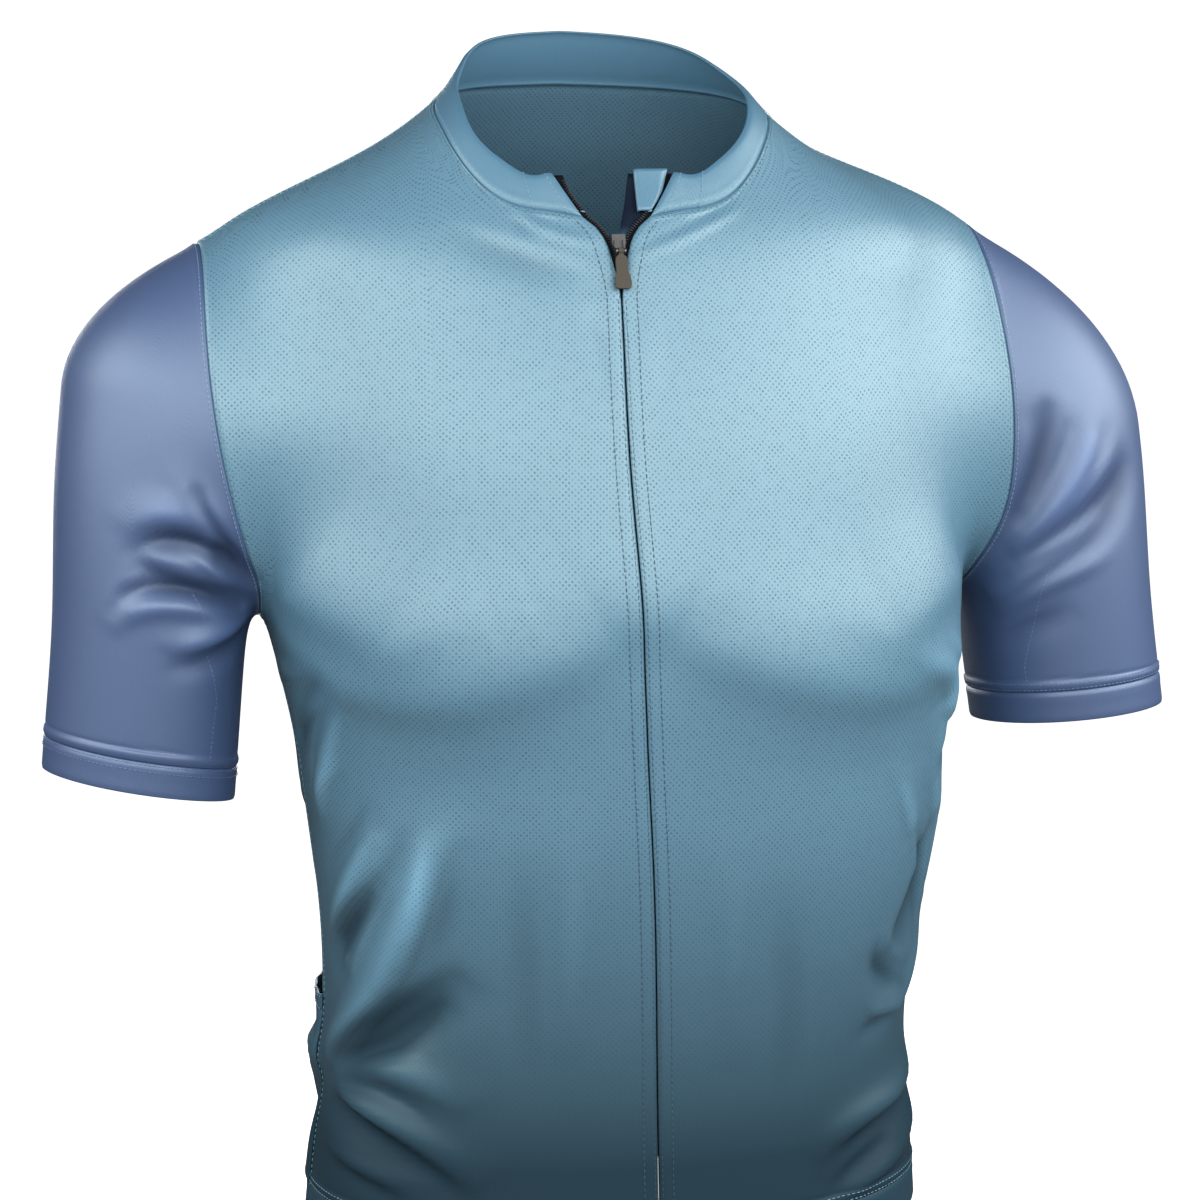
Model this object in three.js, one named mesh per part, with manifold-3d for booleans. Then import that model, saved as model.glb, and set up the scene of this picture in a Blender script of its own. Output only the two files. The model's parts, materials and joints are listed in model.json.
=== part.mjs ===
// Short-sleeved cycling jersey with a full-length front zip, open at the neck, as worn.
// Millimetres, +Z up. The front faces -Y and +X is to the right of someone looking at the front.
// The origin is the middle of the neck, at the height where the shoulders start.
import * as THREE from "three";
import Manifold from "manifold-3d";

const wasm = await Manifold();
wasm.setup();

const V = (x, y, z) => new THREE.Vector3(x, y, z);
const RAD = Math.PI / 180;

// Sizes of the cloth and of its sewing
const WALL = 1.4;
const COLLAR_WALL = 1.6;
const SEAM_GAP = 0.6;
const CUFF_DEEP = 15;
const HEM_DEEP = 17;

// How many faces each seam has
const SIDE_STEPS = 18;
const ARMHOLE_STEPS = 12;
const NECK_STEPS = 7;
const NAPE_STEPS = 10;
const SHOULDER_STEPS = 8;
const SLEEVE_STEPS = 10;
const PANEL_ROUNDS = 5;
const COLLAR_STEPS = 3;

// Sections of the body, from the neck to the hem
const BODY = [
  { z: 60, half: 52, front: 46, back: 46, mid: 2, side: 0 },
  { z: 25, half: 59, front: 54, back: 56, mid: 4, side: 0 },
  { z: 0, half: 82, front: 62, back: 72, mid: 6, side: 1 },
  { z: -16, half: 105, front: 67, back: 80, mid: 8, side: 1 },
  { z: -31, half: 132, front: 74, back: 88, mid: 9, side: 2 },
  { z: -47, half: 156, front: 82, back: 95, mid: 9, side: 3 },
  { z: -80, half: 166, front: 95, back: 105, mid: 10, side: 3 },
  { z: -130, half: 168, front: 110, back: 113, mid: 10, side: 4 },
  { z: -190, half: 168, front: 119, back: 113, mid: 8, side: 7 },
  { z: -235, half: 164, front: 120, back: 108, mid: 5, side: 10 },
  { z: -280, half: 157, front: 116, back: 102, mid: 2, side: 13 },
  { z: -330, half: 150, front: 110, back: 96, mid: 0, side: 13 },
  { z: -380, half: 144, front: 105, back: 93, mid: -2, side: 12 },
  { z: -425, half: 141, front: 105, back: 94, mid: -2, side: 9 },
  { z: -480, half: 145, front: 108, back: 100, mid: -2, side: 8 },
  { z: -540, half: 150, front: 111, back: 108, mid: -2, side: 7 },
  { z: -640, half: 155, front: 113, back: 116, mid: 0, side: 7 },
];
const BODY_SQUARENESS = 2.25;

// The sleeves' axes, where each starts to lean toward the neck, and their ends
const ARMS = {
  "-1": { top: V(-198, 14, -124), low: V(-218, -2, -330), girth: 1, bend: 2, lean: 62, cap: 90,
    cuffOuter: 177, cuffInner: 186 },
  1: { top: V(218, 16, -124), low: V(241, 0, -318), girth: 1.04, bend: 30, lean: 104, cap: 128,
    cuffOuter: 167, cuffInner: 164 },
};
const ARM = [
  { along: -70, outer: 48, inner: 48, front: 52, back: 52 },
  { along: 0, outer: 48, inner: 48, front: 57, back: 57 },
  { along: 50, outer: 48, inner: 46, front: 58, back: 58 },
  { along: 110, outer: 45, inner: 44, front: 55, back: 55 },
  { along: 160, outer: 45, inner: 44, front: 51, back: 51 },
  { along: 215, outer: 45, inner: 44, front: 48, back: 48 },
  { along: 300, outer: 44, inner: 44, front: 46, back: 46 },
];

// How widely the cloth spans from the body to the sleeves, by height
const SPAN = [
  { z: -250, blend: 16 },
  { z: -220, blend: 20 },
  { z: -195, blend: 44 },
  { z: -160, blend: 66 },
  { z: -120, blend: 66 },
  { z: -90, blend: 48 },
  { z: -60, blend: 30 },
  { z: 0, blend: 30 },
];

// Heights of the collar's seam and of its top edge, by the angle from the middle of the front
const NECK = [
  { turn: 0, seam: -44, top: -22 },
  { turn: 12, seam: -42.7, top: -22 },
  { turn: 20, seam: -40.6, top: -23.5 },
  { turn: 28, seam: -39, top: -25.5 },
  { turn: 36, seam: -34.5, top: -20.5 },
  { turn: 45, seam: -25, top: -12.5 },
  { turn: 60, seam: -8, top: 3 },
  { turn: 78, seam: 2.6, top: 14 },
  { turn: 100, seam: 9, top: 25 },
  { turn: 135, seam: 14, top: 36 },
  { turn: 180, seam: 16, top: 40 },
];
const NECK_START = 11;
const COLLAR_SPREAD = 10.8;
const COLLAR_LIFT = 1.5;
const SHOULDER_SEAM_TURN = 96;

// The line of the zip down the front, and half the opening between the two edges of the front
const ZIP_LINE = [
  { z: -500, x: 6.7 },
  { z: -440, x: 6.3 },
  { z: -392, x: 5.9 },
  { z: -345, x: 4.4 },
  { z: -270, x: -0.3 },
  { z: -208, x: -3.3 },
  { z: -140, x: -6.3 },
  { z: -90, x: -5.8 },
  { z: -40, x: -5 },
];
const OPENING = [
  { z: -600, half: 0.6 },
  { z: -78, half: 0.6 },
  { z: -69, half: 1.6 },
  { z: -61, half: 3.6 },
  { z: -56, half: 4.8 },
  { z: -51, half: 7.1 },
  { z: -47, half: 10.2 },
  { z: -42.5, half: 15.2 },
  { z: -36, half: 20.2 },
  { z: -32, half: 22.8 },
  { z: -23, half: 25.9 },
  { z: -18, half: 27 },
];

// How far from the middle the armhole's seam runs, by height, on the left and on the right
const ARMHOLE = [
  { z: -240, left: 158.5, right: 178.5 },
  { z: -211, left: 160.5, right: 182 },
  { z: -194, left: 167, right: 187 },
  { z: -180, left: 171.5, right: 190 },
  { z: -156, left: 177.5, right: 191.5 },
  { z: -132, left: 181.5, right: 191 },
  { z: -95, left: 184, right: 188 },
  { z: -60, left: 183, right: 184 },
  { z: -35, left: 181, right: 182 },
];
const ARMHOLE_MIDDLE = { y: 8, z: -140 };

// The seam of the hem's band, by the angle from the middle of the front
const HEM = [
  { turn: 0, z: -499 },
  { turn: 60, z: -500 },
  { turn: 90, z: -503 },
  { turn: 135, z: -518 },
  { turn: 180, z: -527 },
];

// Folds of the body, each through three places given as an angle and a height
const BODY_FOLDS = [
  { from: [-78, -441], by: [-66, -414], to: [-47, -384], wide: 11, high: -6 },
  { from: [-80, -432], by: [-60, -376], to: [-47, -320], wide: 10, high: 5 },
  { from: [-76, -368], by: [-66, -343], to: [-57, -316], wide: 8, high: 3 },
  { from: [-80, -380], by: [-70, -362], to: [-62, -342], wide: 7, high: -3 },
  { from: [-79, -437], by: [-63, -430], to: [-46, -440], wide: 9, high: 4 },
  { from: [-80, -446], by: [-64, -453], to: [-42, -474], wide: 8, high: 4 },
  { from: [-80, -472], by: [-68, -477], to: [-54, -484], wide: 7, high: 3 },
  { from: [-78, -456], by: [-64, -463], to: [-44, -484], wide: 7, high: -3 },
  { from: [-88, -438], by: [-98, -448], to: [-110, -466], wide: 10, high: 4 },
  { from: [-88, -452], by: [-97, -466], to: [-106, -484], wide: 9, high: -3 },
  { from: [-78, -318], by: [-72, -292], to: [-62, -256], wide: 8, high: 3 },
  { from: [-86, -292], by: [-80, -274], to: [-66, -250], wide: 8, high: -3 },
  { from: [58, -246], by: [72, -264], to: [70, -290], wide: 11, high: 5 },
  { from: [74, -330], by: [69, -356], to: [60, -388], wide: 9, high: -5 },
  { from: [70, -306], by: [76, -334], to: [76, -364], wide: 12, high: 4 },
  { from: [78, -380], by: [72, -402], to: [62, -420], wide: 9, high: 3 },
  { from: [80, -452], by: [58, -460], to: [42, -474], wide: 8, high: 4 },
  { from: [74, -460], by: [58, -468], to: [44, -482], wide: 7, high: -4 },
  { from: [82, -474], by: [66, -482], to: [50, -494], wide: 7, high: 3 },
  { from: [96, -400], by: [104, -420], to: [116, -432], wide: 11, high: 4 },
  { from: [98, -300], by: [108, -320], to: [122, -336], wide: 12, high: 4 },
  { from: [104, -340], by: [116, -362], to: [132, -374], wide: 12, high: -4 },
  { from: [-98, -310], by: [-110, -332], to: [-126, -346], wide: 12, high: 4 },
  { from: [-100, -350], by: [-114, -372], to: [-134, -386], wide: 12, high: -4 },
  { from: [140, -382], by: [176, -396], to: [212, -384], wide: 16, high: -4 },
  { from: [132, -356], by: [176, -366], to: [216, -352], wide: 16, high: 4 },
  { from: [-74, -226], by: [-44, -252], to: [-8, -222], wide: 26, high: 4.2 },
  { from: [9, -222], by: [44, -253], to: [68, -240], wide: 26, high: 4.2 },
  { from: [-70, -284], by: [-40, -290], to: [-8, -268], wide: 24, high: -2.6 },
  { from: [9, -268], by: [42, -292], to: [70, -286], wide: 24, high: -2.6 },
];

// Folds of the sleeves, each through three places given as an angle round the arm and a way along
const SLEEVE_FOLDS = {
  "-1": [
    { from: [4, 34], by: [-18, 50], to: [-40, 66], wide: 8, high: -4 },
    { from: [14, 62], by: [-8, 74], to: [-38, 86], wide: 9, high: -5 },
    { from: [24, 98], by: [-2, 88], to: [-50, 92], wide: 7, high: 4 },
    { from: [0, 120], by: [-28, 108], to: [-56, 97], wide: 8, high: 4 },
    { from: [-8, 128], by: [-38, 117], to: [-62, 106], wide: 7, high: -3 },
    { from: [-150, 84], by: [-172, 78], to: [-200, 74], wide: 9, high: 4 },
    { from: [-146, 102], by: [-166, 98], to: [-190, 94], wide: 8, high: -4 },
  ],
  1: [
    { from: [-10, 16], by: [-18, 44], to: [-34, 70], wide: 8, high: -5 },
    { from: [8, 26], by: [-4, 50], to: [-32, 76], wide: 7, high: 4 },
    { from: [28, 46], by: [4, 66], to: [-38, 88], wide: 8, high: -4 },
    { from: [12, 68], by: [-16, 84], to: [-50, 100], wide: 8, high: 4 },
    { from: [-148, 82], by: [-170, 78], to: [-196, 72], wide: 9, high: 4 },
    { from: [-146, 100], by: [-166, 96], to: [-190, 90], wide: 8, high: -4 },
  ],
};

// A smooth curve through one column of a table
function curve(rows, key, column) {
  const list = rows.map((row) => [row[key], row[column]]).sort((a, b) => a[0] - b[0]);
  const x = list.map((pair) => pair[0]);
  const y = list.map((pair) => pair[1]);
  const last = x.length - 1;
  const bend = new Array(last + 1).fill(0);
  const share = new Array(last + 1).fill(0);
  for (let i = 1; i < last; i += 1) {
    const before = x[i] - x[i - 1];
    const after = x[i + 1] - x[i];
    const pull = 6 * ((y[i + 1] - y[i]) / after - (y[i] - y[i - 1]) / before);
    const whole = 2 * (before + after) - before * share[i - 1];
    share[i] = after / whole;
    bend[i] = (pull - before * bend[i - 1]) / whole;
  }
  for (let i = last - 1; i > 0; i -= 1) {
    bend[i] -= share[i] * bend[i + 1];
  }
  return (at) => {
    const t = Math.min(Math.max(at, x[0]), x[last]);
    let i = 0;
    while (i < last - 1 && t > x[i + 1]) {
      i += 1;
    }
    const h = x[i + 1] - x[i];
    const a = (x[i + 1] - t) / h;
    const b = (t - x[i]) / h;
    const sag = ((a ** 3 - a) * bend[i] + (b ** 3 - b) * bend[i + 1]) * h * h / 6;
    return a * y[i] + b * y[i + 1] + sag;
  };
}

// A run of straight lines through one column of a table
function line(rows, key, column) {
  const list = [...rows].sort((a, b) => a[key] - b[key]);
  return (at) => {
    const after = Math.max(1, list.findIndex((row) => row[key] >= at));
    const [low, high] = at > list[list.length - 1][key] ? list.slice(-2) : [list[after - 1], list[after]];
    const share = Math.min(Math.max((at - low[key]) / (high[key] - low[key]), 0), 1);
    return low[column] + (high[column] - low[column]) * share;
  };
}

const curves = (rows, key, columns) => Object.fromEntries(columns.map((c) => [c, curve(rows, key, c)]));
const body = curves(BODY, "z", ["half", "front", "back", "mid", "side"]);
const arm = curves(ARM, "along", ["outer", "inner", "front", "back"]);
const neckSeam = curve(NECK, "turn", "seam");
const neckTop = curve(NECK, "turn", "top");
const zipX = curve(ZIP_LINE, "z", "x");
const openingHalf = line(OPENING, "z", "half");
const hemZ = curve(HEM, "turn", "z");
const span = curve(SPAN, "z", "blend");
const armholeX = { "-1": curve(ARMHOLE, "z", "left"), 1: curve(ARMHOLE, "z", "right") };

// The form that the cloth lies on: 1 on its surface and less inside
function bodyLevel(p) {
  const dy = p.y - body.mid(p.z);
  const across = Math.abs((p.x - body.side(p.z)) / body.half(p.z));
  const deep = Math.abs(dy / (dy < 0 ? body.front(p.z) : body.back(p.z)));
  return (across ** BODY_SQUARENESS + deep ** BODY_SQUARENESS + 1e-12) ** (1 / BODY_SQUARENESS);
}

for (const side of [-1, 1]) {
  const shape = ARMS[side];
  shape.axis = shape.low.clone().sub(shape.top).normalize();
  shape.front = V(0, -1, 0).addScaledVector(shape.axis, shape.axis.y).normalize();
  shape.out = new THREE.Vector3().crossVectors(shape.front, shape.axis);
  shape.out.multiplyScalar(Math.sign(shape.out.x) * side);
}

function armLevel(p, side) {
  const shape = ARMS[side];
  const d = p.clone().sub(shape.top);
  const along = d.dot(shape.axis);
  const above = Math.max(shape.bend - along, 0);
  const u = d.dot(shape.out) + (above * above) / (2 * shape.lean);
  const v = d.dot(shape.front);
  const wide = shape.girth * (u > 0 ? arm.outer(along) : arm.inner(along));
  const deep = shape.girth * (v > 0 ? arm.front(along) : arm.back(along));
  return Math.sqrt((u / wide) ** 2 + (v / deep) ** 2 + (above / shape.cap) ** 2 + 1e-12);
}

function slopeOf(measure, p, step) {
  return V(
    measure(V(p.x + step, p.y, p.z)) - measure(V(p.x - step, p.y, p.z)),
    measure(V(p.x, p.y + step, p.z)) - measure(V(p.x, p.y - step, p.z)),
    measure(V(p.x, p.y, p.z + step)) - measure(V(p.x, p.y, p.z - step)),
  ).divideScalar(2 * step);
}

function distance(level, p) {
  return (level(p) - 1) / Math.max(slopeOf(level, p, 0.5).length(), 1e-6);
}

function joined(a, b, blend) {
  const h = Math.min(Math.max(0.5 + (b - a) / (2 * blend), 0), 1);
  return b * (1 - h) + a * h - blend * h * (1 - h);
}

function form(p) {
  const blend = span(p.z);
  let nearest = distance(bodyLevel, p);
  for (const side of [-1, 1]) {
    nearest = joined(nearest, distance((q) => armLevel(q, side), p), blend);
  }
  return nearest;
}

const normalAt = (p) => slopeOf(form, p, 0.4).normalize();

// Moves a point onto the form's surface, straight out of it
function settle(p, steps = 8) {
  const q = p.clone();
  for (let i = 0; i < steps; i += 1) {
    const slope = slopeOf(form, q, 0.4);
    const far = Math.min(Math.max(form(q) / Math.max(slope.length(), 0.05), -9), 9);
    q.addScaledVector(slope.normalize(), -far);
  }
  return q;
}

// The first point of the surface on a path that starts inside
function reach(pathAt) {
  let far = 20;
  for (let i = 0; i < 60; i += 1) {
    far -= form(pathAt(far)) * 0.9;
  }
  return pathAt(far);
}

const around = (turn, z) => reach((r) => V(
  zipX(z) + r * Math.sin(turn * RAD), body.mid(z) - r * Math.cos(turn * RAD), z));
const onFront = (x, z) => reach((r) => V(x, body.mid(z) - r, z));

function onArm(side, turn, along) {
  const shape = ARMS[side];
  const above = Math.max(shape.bend - along, 0);
  const middle = shape.top.clone().addScaledVector(shape.axis, along);
  middle.addScaledVector(shape.out, -(above * above) / (2 * shape.lean));
  return reach((r) => middle.clone().addScaledVector(shape.out, r * Math.sin(turn * RAD))
    .addScaledVector(shape.front, r * Math.cos(turn * RAD)));
}

// Folds as soft ridges and troughs that fade at both ends
function foldPath(place, fold) {
  const points = [];
  for (let i = 0; i <= 8; i += 1) {
    const t = i / 8;
    const at = [0, 1].map((k) => {
      const pull = 2 * fold.by[k] - (fold.from[k] + fold.to[k]) / 2;
      return fold.from[k] * (1 - t) ** 2 + 2 * pull * t * (1 - t) + fold.to[k] * t * t;
    });
    points.push(place(at[0], at[1]));
  }
  return { points, wide: fold.wide, high: fold.high };
}

const sleeveFolds = (side) => SLEEVE_FOLDS[side].map(
  (fold) => foldPath((turn, along) => onArm(side, turn, along), fold));
const folds = [...BODY_FOLDS.map((fold) => foldPath(around, fold)), ...sleeveFolds(-1), ...sleeveFolds(1)];

function foldHeight(p) {
  let height = 0;
  for (const fold of folds) {
    const last = fold.points.length - 1;
    if (p.distanceTo(fold.points[last / 2]) > 110) {
      continue;
    }
    let nearest = Infinity;
    let place = 0;
    for (let i = 0; i < last; i += 1) {
      const a = fold.points[i];
      const ab = fold.points[i + 1].clone().sub(a);
      const t = Math.min(Math.max(p.clone().sub(a).dot(ab) / ab.lengthSq(), 0), 1);
      const far = p.distanceTo(a.clone().addScaledVector(ab, t));
      if (far < nearest) {
        nearest = far;
        place = (i + t) / last;
      }
    }
    const fade = Math.sin(Math.PI * (0.08 + 0.84 * place)) ** 0.8;
    height += fold.high * fade * Math.exp(-((nearest / fold.wide) ** 2));
  }
  return height;
}

// Points at even spacing along a run of close points
function evenly(points, steps) {
  const lengths = [0];
  for (let i = 1; i < points.length; i += 1) {
    lengths.push(lengths[i - 1] + points[i].distanceTo(points[i - 1]));
  }
  const whole = lengths[lengths.length - 1];
  const result = [];
  let i = 1;
  for (let k = 0; k <= steps; k += 1) {
    const want = (whole * k) / steps;
    while (i < points.length - 1 && lengths[i] < want) {
      i += 1;
    }
    const share = (want - lengths[i - 1]) / (lengths[i] - lengths[i - 1]);
    result.push(points[i - 1].clone().lerp(points[i], share));
  }
  return result;
}

const many = (count, make) => Array.from({ length: count + 1 }, (_, i) => make(i / count));
const mix = (a, b, t) => a + (b - a) * t;

// Seams that two pieces share
const neckPoint = (turn) => around(turn, neckSeam(Math.abs(turn)));

function armholePoint(side, angle) {
  return reach((r) => {
    const z = ARMHOLE_MIDDLE.z - r * Math.cos(angle * RAD);
    return V(side * armholeX[side](z), ARMHOLE_MIDDLE.y - r * Math.sin(angle * RAD), z);
  });
}

function seamsOf(side) {
  const armpit = armholePoint(side, 0);
  const tip = armholePoint(side, 180);
  const nape = neckPoint(side * SHOULDER_SEAM_TURN);
  const frontTop = neckPoint(side * NECK_START);
  const sideTop = armpit.z - 6;
  const sideDown = many(50, (t) => (t === 0 ? armpit : around(side * 90, mix(sideTop, hemZ(90), t))));
  const edge = many(90, (t) => {
    const z = mix(hemZ(0), frontTop.z, t);
    return t === 1 ? frontTop : onFront(zipX(z) + side * openingHalf(z), z);
  });
  return {
    neck: evenly(many(40, (t) => neckPoint(side * mix(NECK_START, SHOULDER_SEAM_TURN, t))), NECK_STEPS),
    shoulder: evenly(many(20, (t) => settle(nape.clone().lerp(tip, t))), SHOULDER_STEPS),
    armholeFront: evenly(many(60, (t) => armholePoint(side, 180 * t)), ARMHOLE_STEPS),
    armholeBack: evenly(many(60, (t) => armholePoint(side, -180 * t)), ARMHOLE_STEPS),
    side: evenly(sideDown, SIDE_STEPS).reverse(),
    edge: evenly(edge, SIDE_STEPS + ARMHOLE_STEPS),
    hemFront: evenly(many(40, (t) => (t === 0 ? edge[0] : around(side * 90 * t, hemZ(90 * t)))),
      NECK_STEPS + SHOULDER_STEPS),
  };
}

const seams = { "-1": seamsOf(-1), 1: seamsOf(1) };
const napeTurn = (t) => mix(-SHOULDER_SEAM_TURN, SHOULDER_SEAM_TURN - 360, t);
const napeSeam = evenly(many(60, (t) => neckPoint(napeTurn(t))), NAPE_STEPS);
const backSteps = NAPE_STEPS + 2 * SHOULDER_STEPS;
const hemBack = evenly(many(80, (t) => {
  const turn = mix(-90, -270, t);
  return around(turn, hemZ(turn < -180 ? 360 + turn : -turn));
}), backSteps);

// Fills a panel between its four seams and lays it on the form
function panel(bottom, top, left, right) {
  const columns = bottom.length - 1;
  const rows = left.length - 1;
  const grid = [];
  for (let j = 0; j <= rows; j += 1) {
    const v = j / rows;
    grid.push([]);
    for (let i = 0; i <= columns; i += 1) {
      const u = i / columns;
      const ends = j === 0 ? bottom[i] : top[i];
      const sides = i === 0 ? left[j] : right[j];
      const p = V(0, 0, 0);
      p.addScaledVector(bottom[i], 1 - v).addScaledVector(top[i], v);
      p.addScaledVector(left[j], 1 - u).addScaledVector(right[j], u);
      p.addScaledVector(bottom[0], -(1 - u) * (1 - v)).addScaledVector(bottom[columns], -u * (1 - v));
      p.addScaledVector(top[0], -(1 - u) * v).addScaledVector(top[columns], -u * v);
      if (j === 0 || j === rows) {
        grid[j].push(ends.clone());
      } else if (i === 0 || i === columns) {
        grid[j].push(sides.clone());
      } else {
        grid[j].push(settle(p, 10));
      }
    }
  }
  for (let round = 0; round < PANEL_ROUNDS; round += 1) {
    for (let j = 1; j < rows; j += 1) {
      for (let i = 1; i < columns; i += 1) {
        const p = grid[j - 1][i].clone().add(grid[j + 1][i]).add(grid[j][i - 1]).add(grid[j][i + 1]);
        grid[j][i] = settle(p.multiplyScalar(0.25), 1);
      }
    }
    for (let i = 1; i < columns; i += 1) {
      grid[rows - 2][i] = grid[rows - 3][i].clone().lerp(top[i], 1 / 3);
      grid[rows - 1][i] = grid[rows - 3][i].clone().lerp(top[i], 2 / 3);
    }
  }
  for (let j = 1; j < rows; j += 1) {
    for (let i = 1; i < columns; i += 1) {
      grid[j][i] = settle(grid[j][i], 6);
    }
  }
  return grid;
}

// Draws sewn edges back from their seams by half the gap, square to each stretch of the seam
function parted(grid, edges, wraps) {
  const rows = grid.length - 1;
  const columns = grid[0].length - 1;
  const lines = {
    left: many(rows, (t) => [Math.round(t * rows), 0, 0, 1]),
    right: many(rows, (t) => [Math.round(t * rows), columns, 0, -1]),
    bottom: many(columns, (t) => [0, Math.round(t * columns), 1, 0]),
    top: many(columns, (t) => [rows, Math.round(t * columns), -1, 0]),
  };
  const moved = grid.map((row) => row.map((p) => p.clone()));
  for (const edge of edges) {
    const places = lines[edge];
    const points = places.map(([j, i]) => grid[j][i]);
    const squares = points.map((p, k) => {
      const next = points[k + 1] || (wraps ? points[0] : null);
      return next ? next.clone().sub(p).cross(normalAt(p.clone().lerp(next, 0.5))).normalize() : null;
    });
    let sign = 0;
    places.forEach(([j, i, dj, di], k) => {
      sign += squares[k] ? Math.sign(grid[j + dj][i + di].clone().sub(points[k]).dot(squares[k])) : 0;
    });
    places.forEach(([j, i], k) => {
      const after = squares[k] || squares[k - 1];
      const before = k > 0 ? squares[k - 1] : (wraps ? squares[places.length - 1] : after);
      const share = Math.max(1 + before.dot(after), 0.6);
      const shift = before.clone().add(after).multiplyScalar((Math.sign(sign) * SEAM_GAP) / 2 / share);
      moved[j][i].add(shift);
    });
  }
  return moved;
}

// A closed solid between an outer and an inner grid of points
function solid(name, outer, inner, material, wraps = false) {
  const rows = outer.length;
  const columns = outer[0].length;
  const positions = [];
  for (const grid of [outer, inner]) {
    for (const row of grid) {
      for (const p of row) {
        positions.push(p.x, p.y, p.z);
      }
    }
  }
  const index = [];
  const id = (layer, j, i) => layer * rows * columns + j * columns + (i % columns);
  const quad = (a, b, c, d) => {
    index.push(a, b, c, a, c, d);
  };
  const lastColumn = wraps ? columns : columns - 1;
  for (let j = 0; j < rows - 1; j += 1) {
    for (let i = 0; i < lastColumn; i += 1) {
      quad(id(0, j, i), id(0, j, i + 1), id(0, j + 1, i + 1), id(0, j + 1, i));
      quad(id(1, j, i), id(1, j + 1, i), id(1, j + 1, i + 1), id(1, j, i + 1));
    }
    if (!wraps) {
      quad(id(0, j, 0), id(0, j + 1, 0), id(1, j + 1, 0), id(1, j, 0));
      quad(id(0, j + 1, lastColumn), id(0, j, lastColumn), id(1, j, lastColumn), id(1, j + 1, lastColumn));
    }
  }
  for (let i = 0; i < lastColumn; i += 1) {
    quad(id(0, 0, i + 1), id(0, 0, i), id(1, 0, i), id(1, 0, i + 1));
    quad(id(0, rows - 1, i), id(0, rows - 1, i + 1), id(1, rows - 1, i + 1), id(1, rows - 1, i));
  }
  let volume = 0;
  const corner = (k) => V(positions[3 * k], positions[3 * k + 1], positions[3 * k + 2]);
  for (let k = 0; k < index.length; k += 3) {
    volume += corner(index[k]).dot(corner(index[k + 1]).cross(corner(index[k + 2])));
  }
  if (volume < 0) {
    index.reverse();
  }
  const geometry = new THREE.BufferGeometry();
  geometry.setAttribute("position", new THREE.Float32BufferAttribute(positions, 3));
  geometry.setIndex(index);
  geometry.computeVertexNormals();
  const mesh = new THREE.Mesh(geometry, material);
  mesh.name = name;
  return mesh;
}

// Cloth with its outer face on the form, raised by the folds and by its own lift
function cloth(name, grid, material, { wall = WALL, edges = [], wraps = false, lift = () => 0 } = {}) {
  const placed = parted(grid, edges, wraps);
  const outer = [];
  const inner = [];
  grid.forEach((row, j) => {
    const normals = row.map((p) => normalAt(p));
    const heights = row.map((p, i) => foldHeight(p) + lift(i / (row.length - 1), j / (grid.length - 1)));
    outer.push(row.map((p, i) => placed[j][i].clone().addScaledVector(normals[i], heights[i])));
    inner.push(row.map((p, i) => placed[j][i].clone().addScaledVector(normals[i], heights[i] - wall)));
  });
  return solid(name, outer, inner, material, wraps);
}

function paint(color, roughness, metalness = 0) {
  return new THREE.MeshStandardMaterial({ color, roughness, metalness });
}

const MESH_KNIT = 0x7fa9c0;
const SMOOTH_KNIT = 0x74a1ba;
const SLEEVE_KNIT = 0x7a8fb8;

const jersey = new THREE.Group();
jersey.name = "cycling_jersey";
const sideName = { "-1": "left", 1: "right" };

// Fronts, with the band along their hem
for (const side of [-1, 1]) {
  const s = seams[side];
  const top = [...s.neck, ...s.shoulder.slice(1)];
  const outside = [...s.side, ...s.armholeFront.slice(1)];
  const grid = panel(s.hemFront, top, s.edge, outside);
  const edges = ["bottom", "top", "right"];
  jersey.add(cloth(`front_${sideName[side]}`, grid, paint(MESH_KNIT, 0.8), { edges }));
  const turns = s.hemFront.map((p) => Math.atan2(p.x - zipX(p.z), body.mid(p.z) - p.y) / RAD);
  const low = turns.map((turn, i) => (i === 0
    ? onFront(s.hemFront[0].x, s.hemFront[0].z - HEM_DEEP)
    : around(turn, s.hemFront[i].z - HEM_DEEP)));
  jersey.add(cloth(`hem_${sideName[side]}`, [low, s.hemFront], paint(SMOOTH_KNIT, 0.75),
    { edges: ["top", "right"] }));
}

// Back, its band and the three pockets that share one patch
const left = [...seams[-1].side, ...seams[-1].armholeBack.slice(1)];
const right = [...seams[1].side, ...seams[1].armholeBack.slice(1)];
const backTop = [
  ...[...seams[-1].shoulder].reverse(),
  ...napeSeam.slice(1, -1),
  ...seams[1].shoulder,
];
const backGrid = panel(hemBack, backTop, left, right);
jersey.add(cloth("back", backGrid, paint(MESH_KNIT, 0.8), { edges: ["bottom", "top", "left", "right"] }));
const hemBackLow = hemBack.map((p) => {
  const turn = Math.atan2(p.x - zipX(p.z), body.mid(p.z) - p.y) / RAD;
  return around(turn, p.z - HEM_DEEP);
});
jersey.add(cloth("hem_back", [hemBackLow, hemBack], paint(SMOOTH_KNIT, 0.75),
  { edges: ["top", "left", "right"] }));

const POCKET_ROWS = 6;
const POCKET_WALL = 1.2;
const POCKET_BULGE = 3;
const pocketGrid = backGrid.slice(0, POCKET_ROWS + 1);
const pocketLift = (across, up) => WALL / 2 + 1
  + POCKET_BULGE * Math.abs(Math.sin(3 * Math.PI * across)) * up * up;
jersey.add(cloth("pocket_panel", pocketGrid, paint(MESH_KNIT, 0.8),
  { wall: POCKET_WALL, edges: ["bottom", "left", "right"], lift: pocketLift }));

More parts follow.
